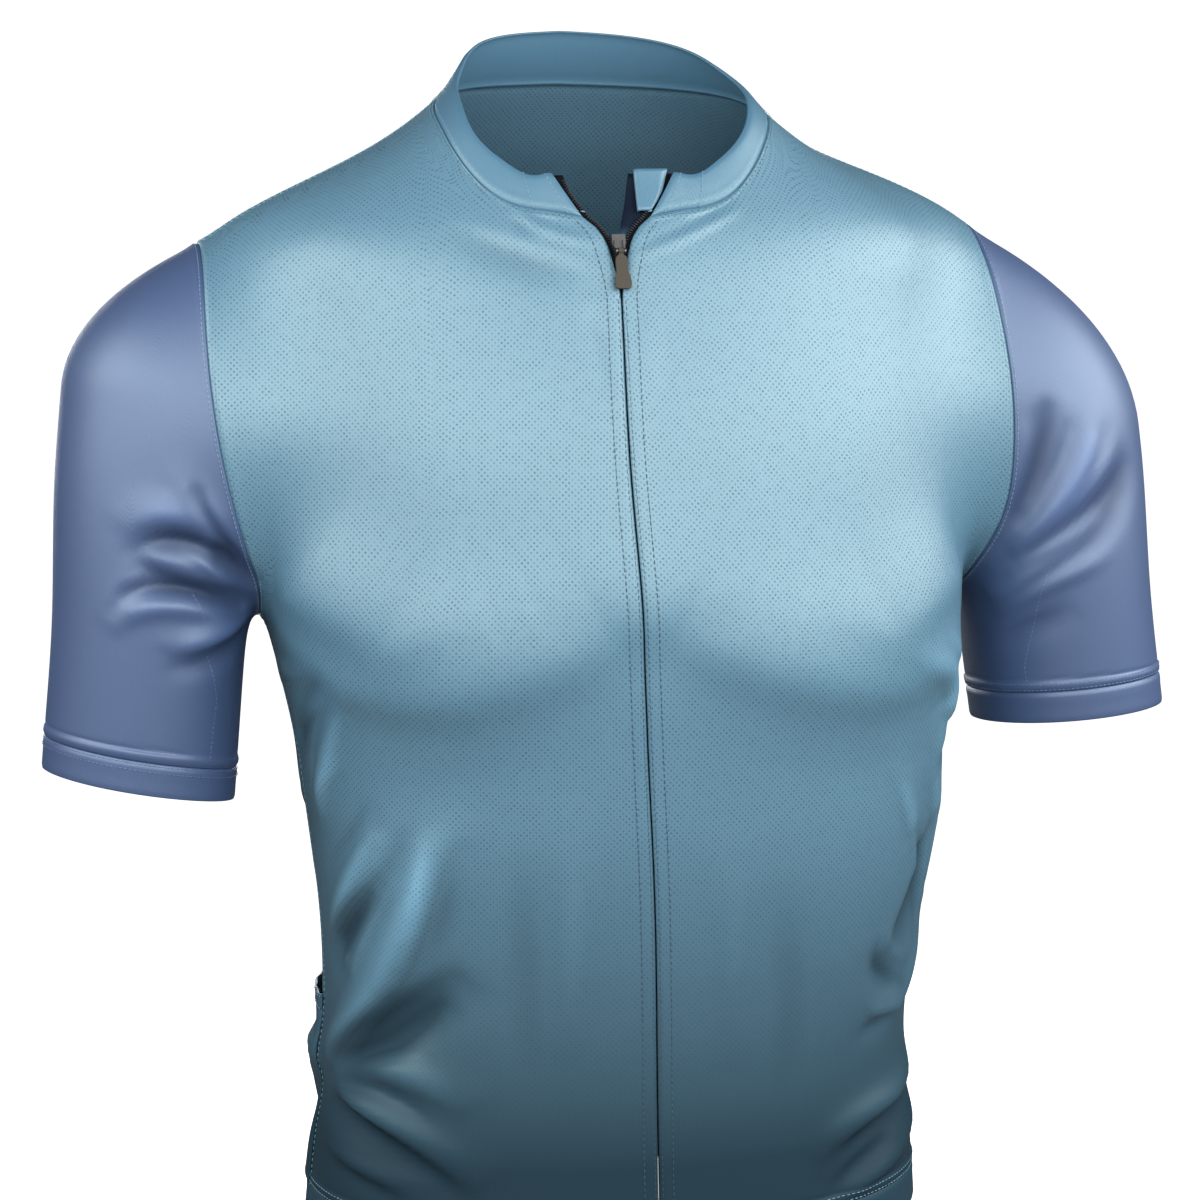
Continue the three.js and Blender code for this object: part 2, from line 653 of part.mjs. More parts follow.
// Sleeves and their cuffs
for (const side of [-1, 1]) {
  const s = seams[side];
  const shape = ARMS[side];
  const hole = [...s.armholeFront, ...[...s.armholeBack].reverse().slice(1, -1)];
  const cuffAt = (turn, up) => {
    const outer = (1 + Math.sin(turn * RAD)) / 2;
    return onArm(side, turn, mix(shape.cuffInner, shape.cuffOuter, outer) - up);
  };
  const turns = hole.map((_, i) => -90 + (360 * i) / hole.length);
  const end = turns.map((turn) => cuffAt(turn, CUFF_DEEP));
  const grid = many(SLEEVE_STEPS, (t) => hole.map((p, i) => {
    const between = p.clone().lerp(end[i], t);
    return t === 0 || t === 1 ? between : settle(between);
  }));
  for (let round = 0; round < 6; round += 1) {
    for (let j = 1; j < SLEEVE_STEPS; j += 1) {
      grid[j] = grid[j].map((p, i) => {
        const next = grid[j][(i + 1) % hole.length];
        const before = grid[j][(i + hole.length - 1) % hole.length];
        const middle = grid[j - 1][i].clone().add(grid[j + 1][i]).add(next).add(before).multiplyScalar(0.25);
        return settle(middle, 3);
      });
    }
  }
  jersey.add(cloth(`sleeve_${sideName[side]}`, grid, paint(SLEEVE_KNIT, 0.55),
    { edges: ["bottom", "top"], wraps: true }));
  const low = turns.map((turn) => cuffAt(turn, 0));
  jersey.add(cloth(`cuff_${sideName[side]}`, [end, low], paint(SLEEVE_KNIT, 0.6),
    { edges: ["bottom"], wraps: true }));
}

// Collar, from its right front end round the back to its left front end
const collarSeam = [
  ...seams[1].neck,
  ...[...napeSeam].reverse().slice(1, -1),
  ...[...seams[-1].neck].reverse(),
];
const collarGrid = many(COLLAR_STEPS, (t) => collarSeam.map((p) => {
  const turn = Math.atan2(p.x - zipX(p.z), body.mid(p.z) - p.y) / RAD;
  const size = Math.abs(turn);
  const spread = COLLAR_SPREAD * Math.exp(-(size - NECK_START) / 18);
  const newTurn = Math.sign(turn) * (size + spread * t);
  return t === 0 ? p : around(newTurn, mix(neckSeam(size), neckTop(size + spread), t));
}));
jersey.add(cloth("collar", collarGrid, paint(SMOOTH_KNIT, 0.75),
  { wall: COLLAR_WALL, edges: ["bottom"], lift: (across, up) => COLLAR_LIFT * up }));

// Strips along the zip, drawn across it as places from the middle and depths behind the cloth
function strip(name, heights, sectionAt, thick, material) {
  const outer = [];
  const inner = [];
  for (const z of heights) {
    const section = sectionAt(z);
    const last = section.length - 1;
    const rows = [[], []];
    section.forEach(([across, level], k) => {
      const [a, b] = [section[Math.max(k - 1, 0)], section[Math.min(k + 1, last)]];
      const long = Math.hypot(b[0] - a[0], b[1] - a[1]);
      const turned = [-(b[1] - a[1]) / long, (b[0] - a[0]) / long];
      [thick / 2, -thick / 2].forEach((off, layer) => {
        const base = onFront(zipX(z) + across + turned[0] * off, z);
        const height = level + turned[1] * off + foldHeight(base);
        rows[layer].push(base.clone().addScaledVector(normalAt(base), height));
      });
    });
    outer.push(rows[0]);
    inner.push(rows[1]);
  }
  return solid(name, outer, inner, material);
}

const TAPE_WALL = 0.8;
const TAPE_LEVEL = -2.65;
const TAPE_BEHIND = 8;
const TAPE_SHOWS = 3.2;
const GUARD_WALL = 1;
const GUARD_LEVEL = -4.05;
const zipHeights = [
  ...many(26, (t) => mix(-497, -78, t)),
  ...many(9, (t) => mix(-69, -24.5, t)),
];
const tapeEdge = (z) => Math.max(openingHalf(z) - TAPE_SHOWS, 0.35);
for (const side of [-1, 1]) {
  const section = (z) => [
    [side * tapeEdge(z), TAPE_LEVEL],
    [side * (openingHalf(z) + TAPE_BEHIND), TAPE_LEVEL],
  ];
  jersey.add(strip(`zip_tape_${sideName[side]}`, zipHeights, section, TAPE_WALL, paint(0x14161c, 0.85)));
}

// Guard behind the right tape, and the fold in front of it that holds the zip's top end
const GUARD_EDGE = [
  { z: -92, x: -2 },
  { z: -51, x: 0.5 },
  { z: -46, x: 2.2 },
  { z: -36, x: 5 },
  { z: -23, x: 8 },
];
const guardEdge = line(GUARD_EDGE, "z", "x");
jersey.add(strip("zip_guard", many(9, (t) => mix(-92, -23.5, t)), (z) => [
  [guardEdge(z), GUARD_LEVEL], [(guardEdge(z) + openingHalf(z) + 6) / 2, GUARD_LEVEL],
  [openingHalf(z) + 6, GUARD_LEVEL],
], GUARD_WALL, paint(0x22304c, 0.85)));
jersey.add(strip("zip_garage", many(4, (t) => mix(-40.5, -22.5, t)), (z) => [
  [openingHalf(z) - 0.7, -0.8], [(openingHalf(z) + 11) / 2, -0.7], [11.6, -0.8], [10.4, -1.4], [10.3, -2.3],
], 0.9, paint(SMOOTH_KNIT, 0.75)));

// Slider at the foot of the opening, and its pull on a cross pin
const SLIDER_AT = -54.5;
const SLIDER_HALF = 3.1;
const SLIDER_HIGH = 7.6;
const PIN_DOWN = 4.6;
const PIN_RAISE = 2;
const PIN_RADIUS = 0.55;
const EAR_AT = 1.9;
const EAR_WALL = 0.8;
const TAB_LONG = 17.5;
const TAB_WALL = 1.3;
const sliderFoot = onFront(zipX(SLIDER_AT), SLIDER_AT);
const sliderOut = normalAt(sliderFoot).setX(0).normalize();
const sliderDown = V(0, sliderOut.z, -sliderOut.y).multiplyScalar(sliderOut.y < 0 ? -1 : 1);
const toSlider = new THREE.Matrix4().makeBasis(V(-1, 0, 0), sliderDown, sliderOut).setPosition(sliderFoot);

function fromManifold(name, made, material) {
  const data = made.getMesh();
  const points = [];
  for (let i = 0; i < data.numVert; i += 1) {
    const p = V(...data.vertProperties.slice(i * data.numProp, i * data.numProp + 3)).applyMatrix4(toSlider);
    points.push(p.x, p.y, p.z);
  }
  const geometry = new THREE.BufferGeometry();
  geometry.setAttribute("position", new THREE.Float32BufferAttribute(points, 3));
  geometry.setIndex([...data.triVerts]);
  geometry.computeVertexNormals();
  const mesh = new THREE.Mesh(geometry, material);
  mesh.name = name;
  return mesh;
}

const { Manifold: Solid, CrossSection } = wasm;
const roundBar = (radius, long) => Solid.cylinder(long, radius, radius, 24, true).rotate([0, 90, 0]);
const plateOutline = new CrossSection([[
  [-SLIDER_HALF, -SLIDER_HIGH / 2], [SLIDER_HALF, -SLIDER_HIGH / 2], [SLIDER_HALF, 0.6],
  [1.9, SLIDER_HIGH / 2], [-1.9, SLIDER_HIGH / 2], [-SLIDER_HALF, 0.6],
]]);
const plate = Solid.extrude(plateOutline, 1.6).translate([0, 0, -1.4]);
const ears = [-1, 1].map((side) => roundBar(1.35, EAR_WALL).translate([side * EAR_AT, PIN_DOWN, PIN_RAISE]));
const arms = [-1, 1].map((side) => Solid.cube([EAR_WALL, PIN_DOWN + 0.8, 1.6], false)
  .translate([side * EAR_AT - EAR_WALL / 2, -0.8, 0]));
const crossPin = roundBar(PIN_RADIUS, 2 * EAR_AT).translate([0, PIN_DOWN, PIN_RAISE]);
const sliderSolid = Solid.union([plate, ...ears, ...arms, crossPin]);
jersey.add(fromManifold("zip_slider", sliderSolid, paint(0x4a4c50, 0.4, 0.9)));

const tabOutline = new CrossSection([[
  [-0.95, 0.7], [0.95, 0.7], [1.1, 2], [2.3, 2.9], [2.7, 5], [2.6, 9.5], [3.4, 12.5], [3.7, 15], [3.4, 16.9],
  [2.2, TAB_LONG], [-2.2, TAB_LONG], [-3.4, 16.9], [-3.7, 15], [-3.4, 12.5], [-2.6, 9.5], [-2.7, 5],
  [-2.3, 2.9], [-1.1, 2],
]]);
const tab = Solid.extrude(tabOutline, TAB_WALL).translate([0, 0, -TAB_WALL / 2]);
const eye = roundBar(1.5, 2.1);
const hole = roundBar(PIN_RADIUS + 0.35, 4);
const pullSolid = Solid.union([tab, eye]).subtract(hole).translate([0, PIN_DOWN, PIN_RAISE]);
jersey.add(fromManifold("zip_pull", pullSolid, paint(0x7b776b, 0.7)));

export default jersey;
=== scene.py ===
# %% [markdown]
# # Short-sleeved cycling jersey with a full-length front zip
#
# The CAD frame holds one closed solid for each cut piece. This lesson lays a thin, finely
# creased cloth over each of them and adds the sewing, the zip's teeth and the knit.
# Work is in millimetres until the meshes are made, which are in metres.
# The front faces -Y, +Z is up, and the origin is the middle of the neck.

import json
import math

import bpy
import numpy as np
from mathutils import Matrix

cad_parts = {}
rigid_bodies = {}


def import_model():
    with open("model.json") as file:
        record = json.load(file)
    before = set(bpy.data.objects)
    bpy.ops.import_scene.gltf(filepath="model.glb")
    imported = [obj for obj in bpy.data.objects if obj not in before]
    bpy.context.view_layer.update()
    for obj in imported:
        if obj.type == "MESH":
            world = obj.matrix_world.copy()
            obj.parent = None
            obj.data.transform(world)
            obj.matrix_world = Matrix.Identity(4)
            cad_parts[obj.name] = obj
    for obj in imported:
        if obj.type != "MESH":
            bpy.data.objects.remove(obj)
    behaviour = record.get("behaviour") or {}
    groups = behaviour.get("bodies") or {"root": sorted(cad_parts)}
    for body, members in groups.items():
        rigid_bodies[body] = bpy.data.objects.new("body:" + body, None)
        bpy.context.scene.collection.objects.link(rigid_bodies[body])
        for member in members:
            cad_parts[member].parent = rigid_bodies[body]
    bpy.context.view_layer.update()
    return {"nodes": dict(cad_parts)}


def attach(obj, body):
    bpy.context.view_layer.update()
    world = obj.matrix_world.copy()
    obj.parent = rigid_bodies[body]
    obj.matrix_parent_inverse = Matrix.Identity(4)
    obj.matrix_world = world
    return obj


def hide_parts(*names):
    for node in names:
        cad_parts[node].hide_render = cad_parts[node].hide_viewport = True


for extra in list(bpy.data.objects):
    bpy.data.objects.remove(extra)
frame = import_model()
print("nodes in the frame:", len(frame["nodes"]))

# %% [markdown]
# ## The form under the cloth
#
# The body is a row of rounded sections, and each sleeve is a leaning tube whose top ends in
# a cap. A smooth minimum of the three distances spans them with cloth. These tables are the
# same ones that the CAD solids were made from.

# %% Tables of the form
SIDES = ((-1, "left"), (1, "right"))
WALL = 0.9
FINE = 20  # finer places between two coarse ones on a seam
STEPS = {"side": 18, "armhole": 12, "neck": 7, "nape": 10, "shoulder": 8, "sleeve": 10}
HEM_DEEP = 17
CUFF_DEEP = 15

BODY = np.array([  # height, half width, front, back, middle, sideways
    (60, 52, 46, 46, 2, 0), (25, 59, 54, 56, 4, 0), (0, 82, 62, 72, 6, 1),
    (-16, 105, 67, 80, 8, 1), (-31, 132, 74, 88, 9, 2), (-47, 156, 82, 95, 9, 3),
    (-80, 166, 95, 105, 10, 3), (-130, 168, 110, 113, 10, 4), (-190, 168, 119, 113, 8, 7),
    (-235, 164, 120, 108, 5, 10), (-280, 157, 116, 102, 2, 13), (-330, 150, 110, 96, 0, 13),
    (-380, 144, 105, 93, -2, 12), (-425, 141, 105, 94, -2, 9), (-480, 145, 108, 100, -2, 8),
    (-540, 150, 111, 108, -2, 7), (-640, 155, 113, 116, 0, 7)], float)
SQUARENESS = 2.25
ARMS = {
    -1: dict(top=(-198, 14, -124), low=(-218, -2, -330), girth=1, bend=2, lean=62, cap=90,
             cuff_outer=177, cuff_inner=186),
    1: dict(top=(218, 16, -124), low=(241, 0, -318), girth=1.04, bend=30, lean=104, cap=128,
            cuff_outer=167, cuff_inner=164),
}
ARM = np.array([  # along the sleeve, outer, inner, front, back
    (-70, 48, 48, 52, 52), (0, 48, 48, 57, 57), (50, 48, 46, 58, 58), (110, 45, 44, 55, 55),
    (160, 45, 44, 51, 51), (215, 45, 44, 48, 48), (300, 44, 44, 46, 46)], float)
SPAN = np.array([(-250, 16), (-220, 20), (-195, 44), (-160, 66), (-120, 66), (-90, 48),
                 (-60, 30), (0, 30)], float)
NECK = np.array([  # turn from the front, height of the collar's seam, height of its top
    (0, -44, -22), (12, -42.7, -22), (20, -40.6, -23.5), (28, -39, -25.5), (36, -34.5, -20.5),
    (45, -25, -12.5), (60, -8, 3), (78, 2.6, 14), (100, 9, 25), (135, 14, 36),
    (180, 16, 40)], float)
NECK_START, COLLAR_SPREAD, SHOULDER_SEAM_TURN = 11, 10.8, 96
ZIP_LINE = np.array([(-500, 6.7), (-440, 6.3), (-392, 5.9), (-345, 4.4), (-270, -0.3),
                     (-208, -3.3), (-140, -6.3), (-90, -5.8), (-40, -5)], float)
OPENING = np.array([(-600, 0.4), (-78, 0.4), (-69, 1.6), (-61, 3.6), (-56, 4.8), (-51, 7.1),
                    (-47, 10.2), (-42.5, 15.2), (-36, 20.2), (-32, 22.8), (-23, 25.9),
                    (-18, 27)], float)
ARMHOLE = np.array([  # height, left, right
    (-240, 158.5, 178.5), (-211, 160.5, 182), (-194, 167, 187), (-180, 171.5, 190),
    (-156, 177.5, 191.5), (-132, 181.5, 191), (-95, 184, 188), (-60, 183, 184),
    (-35, 181, 182)], float)
ARMHOLE_MIDDLE = (8, -140)
HEM = np.array([(0, -499), (60, -500), (90, -503), (135, -518), (180, -527)], float)
print("sections of the body:", len(BODY), "- of a sleeve:", len(ARM))

# %% [markdown]
# ## Folds
#
# Each fold runs through three places, given as an angle round the body and a height, or as
# an angle round the arm and a way along it. A positive height is a ridge and a negative one
# a trough. The left side is drawn up towards a point on the side seam where the pockets'
# elastic top is sewn in, and the other side and the back have similar ones.

# %% Tables of folds
BODY_FOLDS = [  # from, by, to, width, height
    ((-78, -441), (-66, -414), (-47, -384), 11, -6),
    ((-80, -432), (-60, -376), (-47, -320), 10, 5),
    ((-76, -368), (-66, -343), (-57, -316), 8, 3), ((-80, -380), (-70, -362), (-62, -342), 7, -3),
    ((-79, -437), (-63, -430), (-46, -440), 9, 3.4), ((-80, -446), (-64, -453), (-42, -474), 8, 3.4),
    ((-80, -472), (-68, -477), (-54, -484), 7, 2.6), ((-78, -456), (-64, -463), (-44, -484), 7, -3),
    ((-88, -438), (-98, -448), (-110, -466), 10, 4), ((-88, -452), (-97, -466), (-106, -484), 9, -3),
    ((-78, -318), (-72, -292), (-62, -256), 8, 3), ((-86, -292), (-80, -274), (-66, -250), 8, -3),
    ((58, -246), (72, -264), (70, -290), 11, 5), ((74, -330), (69, -356), (60, -388), 9, -5),
    ((70, -306), (76, -334), (76, -364), 12, 4), ((78, -380), (72, -402), (62, -420), 9, 3),
    ((80, -452), (58, -460), (42, -474), 8, 4), ((74, -460), (58, -468), (44, -482), 7, -4),
    ((82, -474), (66, -482), (50, -494), 7, 3), ((96, -400), (104, -420), (116, -432), 11, 4),
    ((98, -300), (108, -320), (122, -336), 12, 4), ((104, -340), (116, -362), (132, -374), 12, -4),
    ((-98, -310), (-110, -332), (-126, -346), 12, 4),
    ((-100, -350), (-114, -372), (-134, -386), 12, -4),
    ((140, -382), (176, -396), (212, -384), 16, -4), ((132, -356), (176, -366), (216, -352), 16, 4),
]
FINER_FOLDS = [
    ((-50, -324), (-55, -363), (-61, -391), 5.5, 3.6), ((-61, -391), (-68, -407), (-80, -427), 5, 3.2),
    ((-65, -349), (-76, -372), (-77, -388), 6, -3.2), ((-63, -324), (-72, -355), (-80, -375), 5, 2.6),
    ((-59, -344), (-66, -367), (-71, -387), 4.5, 2.2), ((-50, -396), (-62, -416), (-78, -435), 6, -3.2),
    ((-55, -420), (-64, -422), (-76, -432), 6, -1.6), ((-79, -440), (-62, -429), (-50, -436), 6, 1.4),
    ((-76, -444), (-63, -440), (-53, -447), 3.6, -2.4),
    ((-79, -446), (-61, -453), (-46, -464), 4.5, 1.5),
    ((-79, -452), (-60, -461), (-47, -477), 3.6, -2.6),
    ((-79, -474), (-65, -478), (-51, -479), 4.5, 1.2),
    ((-78, -480), (-65, -484), (-57, -488), 3.6, -2),
    ((-77, -310), (-73, -300), (-67, -288), 4, 1.6), ((-82, -276), (-76, -268), (-68, -260), 4, 1.6),
    ((-87, -253), (-80, -252), (-73, -249), 4, 1.4), ((-79, -304), (-74, -280), (-64, -260), 4.5, -1.6),
    ((-76, -338), (-68, -322), (-62, -306), 5, -1.6), ((-52, -372), (-48, -352), (-46, -330), 6, -1.6),
    ((-19, -312), (-20, -360), (-22, -412), 9, 1.4), ((-30, -330), (-31, -380), (-30, -430), 9, -1.3),
    ((17, -330), (19, -370), (18, -420), 9, 1.1), ((30, -350), (33, -400), (30, -450), 10, -1.2),
    ((56, -300), (62, -326), (68, -354), 6, 2.2), ((64, -329), (71, -351), (73, -380), 6, -3.5),
    ((55, -382), (58, -394), (66, -406), 4.5, -3), ((58, -377), (61, -386), (66, -394), 4, 2),
    ((54, -409), (58, -414), (66, -415), 4, 1.8), ((52, -421), (57, -419), (64, -419), 4, -2),
    ((71, -461), (55, -458), (42, -466), 4.5, 1.6), ((70, -466), (54, -467), (42, -476), 3.6, -3),
    ((60, -472), (50, -477), (42, -484), 3.6, 1.8), ((60, -477), (51, -483), (44, -490), 3.6, -2.4),
    ((69, -487), (57, -490), (47, -495), 4, 1.6), ((79, -296), (74, -284), (66, -270), 4.5, -1.8),
    ((84, -318), (80, -340), (78, -360), 5, -1.8), ((76, -262), (70, -252), (62, -240), 5, -1.6),
    ((-30, -42), (-20, -49), (-9, -54), 3.4, 1.2), ((-30, -39), (-20, -46), (-11, -50), 2.6, -0.8),
    ((34, -38), (20, -48), (6, -56), 2.6, -0.9), ((35, -42), (21, -51), (7, -59), 3.4, 1.1),
    ((-30, -43), (-28, -46), (-26, -47), 2.6, -0.8), ((-44, -50), (-28, -60), (-12, -68), 8, -1.2),
    ((-8, -84), (-6, -96), (-5, -112), 3.5, -0.8), ((5, -84), (6, -98), (6, -116), 3.5, 0.7),
    ((-92, -436), (-104, -440), (-120, -452), 5, 2), ((-92, -444), (-104, -456), (-116, -476), 5, -2),
    ((-94, -428), (-108, -424), (-124, -430), 6, -1.8),
    ((-96, -260), (-108, -276), (-120, -284), 6, 1.8),
    ((92, -444), (104, -452), (118, -462), 5, 2), ((92, -432), (106, -436), (122, -446), 6, -1.8),
    ((94, -270), (104, -286), (116, -296), 6, 1.8), ((94, -330), (100, -352), (110, -372), 6, -1.6),
    ((150, -330), (178, -338), (206, -328), 9, 1.8), ((146, -300), (172, -306), (196, -300), 9, -1.5),
    ((-118, -72), (-140, -96), (-158, -110), 10, 1.6), ((118, -74), (138, -96), (156, -112), 10, 1.6),
]
CHEST = [  # the soft lower edge of the chest, on the left and on the right
    ((-78, -216), (-46, -248), (-8, -218), 30, 7.5), ((9, -218), (46, -250), (74, -228), 30, 7.5),
    ((-73, -202), (-64, -209), (-50, -226), 24, 6), ((50, -226), (63, -211), (71, -204), 24, 5),
    ((-70, -290), (-40, -296), (-8, -276), 26, -1.5), ((9, -276), (42, -298), (70, -292), 26, -1.5),
]
SLEEVE_FOLDS = {
    -1: [((-10, 44), (-21, 61), (-46, 79), 4.6, -4), ((-4, 40), (-14, 56), (-22, 70), 6, 1.8),
         ((12, 70), (-8, 65), (-40, 79), 5, -4.5), ((10, 78), (-9, 84), (-46, 90), 5, -4),
         ((16, 60), (-4, 55), (-24, 63), 7, 2.6), ((-10, 70), (-20, 77), (-33, 85), 3.6, 1.6),
         ((20, 97), (2, 87), (-46, 94), 4.4, -3.4), ((20, 104), (0, 95), (-30, 98), 7, 2.6),
         ((-8, 114), (-29, 109), (-62, 97), 5, 3), ((-11, 121), (-33, 116), (-62, 105), 4.6, -2.6),
         ((-150, 84), (-172, 78), (-200, 74), 9, 4), ((-146, 102), (-166, 98), (-190, 94), 8, -4),
         ((-140, 118), (-162, 114), (-186, 108), 6, 1.8),
         ((-150, 60), (-168, 58), (-188, 54), 6, -1.8)],
    1: [((-10, 16), (-18, 44), (-34, 70), 8, -5), ((8, 26), (-4, 50), (-32, 76), 7, 4),
        ((28, 46), (4, 66), (-38, 88), 8, -4), ((12, 68), (-16, 84), (-50, 100), 8, 4),
        ((-148, 82), (-170, 78), (-196, 72), 9, 4), ((-146, 100), (-166, 96), (-190, 90), 8, -4),
        ((-4, 14), (-12, 36), (-26, 60), 4.5, 2), ((20, 36), (2, 56), (-32, 82), 4.5, 1.8),
        ((24, 60), (0, 78), (-40, 94), 5, -1.8), ((6, 90), (-18, 98), (-48, 110), 5, 1.6),
        ((-14, 112), (-30, 116), (-50, 122), 6, -1.3), ((-142, 116), (-164, 112), (-188, 106), 6, 1.8),
        ((-150, 58), (-168, 56), (-188, 52), 6, -1.8)],
}
LEAN = 0.38  # how much steeper a fold's lower side is
FOLD_STEPS = 8
print("folds on the body:", len(BODY_FOLDS + FINER_FOLDS + CHEST), "- on the sleeves:",
      [len(rows) for rows in SLEEVE_FOLDS.values()])

# %% [markdown]
# ## Reading the form
#
# `curve` turns a table into a smooth function, `form` gives the distance from the surface,
# and `settle` moves any cloud of points onto it. `reach` walks along a path from the inside
# until it meets the surface, which is how an angle and a height become a place.

# %% Functions of the form
def spline_weights(count, places):
    """How much each of count + 1 even knots counts at each place of a smooth curve."""
    knots = count + 1
    system, pull = np.eye(knots), np.zeros((knots, knots))
    for i in range(1, count):
        system[i, i - 1:i + 2] = (1, 4, 1)
        pull[i, i - 1:i + 2] = (6, -12, 6)
    bends = np.linalg.solve(system, pull)
    low = np.clip(np.floor(places).astype(int), 0, count - 1)
    b = (places - low)[:, None]
    a = 1 - b
    unit = np.eye(knots)
    return (a * unit[low] + b * unit[low + 1]
            + ((a**3 - a) * bends[low] + (b**3 - b) * bends[low + 1]) / 6)


def curve(x, y):
    """A natural spline through the points of a table, as a function."""
    order = np.argsort(x)
    x, y = x[order], y[order]
    n = len(x)
    h = np.diff(x)
    system, pull = np.eye(n), np.zeros(n)
    for i in range(1, n - 1):
        system[i, i - 1:i + 2] = (h[i - 1], 2 * (h[i - 1] + h[i]), h[i])
        pull[i] = 6 * ((y[i + 1] - y[i]) / h[i] - (y[i] - y[i - 1]) / h[i - 1])
    bend = np.linalg.solve(system, pull)
    t = np.linspace(x[0], x[-1], 1500)
    i = np.clip(np.searchsorted(x, t) - 1, 0, n - 2)
    a, b = (x[i + 1] - t) / h[i], (t - x[i]) / h[i]
    value = a * y[i] + b * y[i + 1]
    value += ((a**3 - a) * bend[i] + (b**3 - b) * bend[i + 1]) * h[i] ** 2 / 6
    return lambda at: np.interp(at, t, value)


half, front, back, mid, sideways = (curve(BODY[:, 0], BODY[:, k]) for k in range(1, 6))
arm_outer, arm_inner, arm_front, arm_back = (curve(ARM[:, 0], ARM[:, k]) for k in range(1, 5))
span = curve(SPAN[:, 0], SPAN[:, 1])
neck_seam, neck_top = curve(NECK[:, 0], NECK[:, 1]), curve(NECK[:, 0], NECK[:, 2])
zip_x = curve(ZIP_LINE[:, 0], ZIP_LINE[:, 1])
hem_z = curve(HEM[:, 0], HEM[:, 1])
armhole_x = {-1: curve(ARMHOLE[:, 0], ARMHOLE[:, 1]), 1: curve(ARMHOLE[:, 0], ARMHOLE[:, 2])}


def opening_half(z):
    return np.interp(z, OPENING[:, 0], OPENING[:, 1])


for side, arm in ARMS.items():
    arm["top"], low = np.array(arm["top"], float), np.array(arm["low"], float)
    arm["axis"] = (low - arm["top"]) / np.linalg.norm(low - arm["top"])
    facing = np.array([0.0, -1.0, 0.0]) + arm["axis"] * arm["axis"][1]
    arm["front"] = facing / np.linalg.norm(facing)
    arm["out"] = np.cross(arm["front"], arm["axis"])
    arm["out"] *= np.sign(arm["out"][0]) * side


def body_level(p):
    z = p[..., 2]
    dy = p[..., 1] - mid(z)
    across = np.abs((p[..., 0] - sideways(z)) / half(z))
    deep = np.abs(dy / np.where(dy < 0, front(z), back(z)))
    return (across**SQUARENESS + deep**SQUARENESS + 1e-12) ** (1 / SQUARENESS)


def arm_level(p, arm):
    d = p - arm["top"]
    along = d @ arm["axis"]
    above = np.maximum(arm["bend"] - along, 0)
    u = d @ arm["out"] + above**2 / (2 * arm["lean"])
    v = d @ arm["front"]
    wide = arm["girth"] * np.where(u > 0, arm_outer(along), arm_inner(along))
    deep = arm["girth"] * np.where(v > 0, arm_front(along), arm_back(along))
    return np.sqrt((u / wide) ** 2 + (v / deep) ** 2 + (above / arm["cap"]) ** 2 + 1e-12)


def slope_of(measure, p, here, step=0.2):
    return np.stack([measure(p + e) - here for e in step * np.eye(3)], -1) / step


def distance(level, p):
    here = level(p)
    slope = slope_of(level, p, here)
    return (here - 1) / np.maximum(np.linalg.norm(slope, axis=-1), 1e-6)


def form(p):
    blend = span(p[..., 2])
    nearest = distance(body_level, p)
    for arm in ARMS.values():
        other = distance(lambda q: arm_level(q, arm), p)
        h = np.clip(0.5 + (other - nearest) / (2 * blend), 0, 1)
        nearest = other * (1 - h) + nearest * h - blend * h * (1 - h)
    return nearest


def normal_at(p):
    slope = slope_of(form, p, form(p))
    return slope / np.maximum(np.linalg.norm(slope, axis=-1, keepdims=True), 1e-9)


def settle(p, steps):
    p = np.array(p, float)
    for _ in range(steps):
        here = form(p)
        slope = slope_of(form, p, here)
        size = np.linalg.norm(slope, axis=-1, keepdims=True)
        p -= slope / np.maximum(size, 1e-9) * np.clip(here[..., None] / np.maximum(size, 0.05), -9, 9)
    return p


def reach(path_at, count):
    far = np.full(count, 20.0)
    for _ in range(45):
        far -= form(path_at(far)) * 0.9
    return path_at(far)


def around(turn, z):
    """Places on the body at angles round the zip's line, from the front to the right, and heights."""
    turn, z = np.broadcast_arrays(np.radians(np.asarray(turn, float)), np.asarray(z, float))

    def path_at(r):
        return np.stack([zip_x(z) + r * np.sin(turn), mid(z) - r * np.cos(turn), z], -1)
    return reach(path_at, z.shape)


def on_front(x, z):
    x, z = np.broadcast_arrays(np.asarray(x, float), np.asarray(z, float))
    return reach(lambda r: np.stack([x, mid(z) - r, z], -1), z.shape)


def on_arm(side, turn, along):
    arm = ARMS[side]
    turn, along = np.broadcast_arrays(np.radians(np.asarray(turn, float)), np.asarray(along, float))
    above = np.maximum(arm["bend"] - along, 0)
    middle = arm["top"] + along[..., None] * arm["axis"]
    middle = middle - (above**2 / (2 * arm["lean"]))[..., None] * arm["out"]
    ray = np.sin(turn)[..., None] * arm["out"] + np.cos(turn)[..., None] * arm["front"]
    return reach(lambda r: middle + r[..., None] * ray, along.shape)


def fold_lines():
    """Every fold as points on the form, with its width and height."""
    t = np.linspace(0, 1, FOLD_STEPS + 1)
    made = []
    groups = [(BODY_FOLDS + FINER_FOLDS + CHEST, around)]
    groups += [(SLEEVE_FOLDS[s], lambda a, b, s=s: on_arm(s, a, b)) for s in (-1, 1)]
    for rows, place in groups:
        ends = np.array([[r[0], r[1], r[2]] for r in rows], float)
        pull = 2 * ends[:, 1] - (ends[:, 0] + ends[:, 2]) / 2
        at = (ends[:, 0, None] * ((1 - t) ** 2)[:, None] + 2 * pull[:, None] * (t * (1 - t))[:, None]
              + ends[:, 2, None] * (t**2)[:, None])
        made += list(zip(place(at[..., 0], at[..., 1]), rows))
    return made


FOLDS = fold_lines()


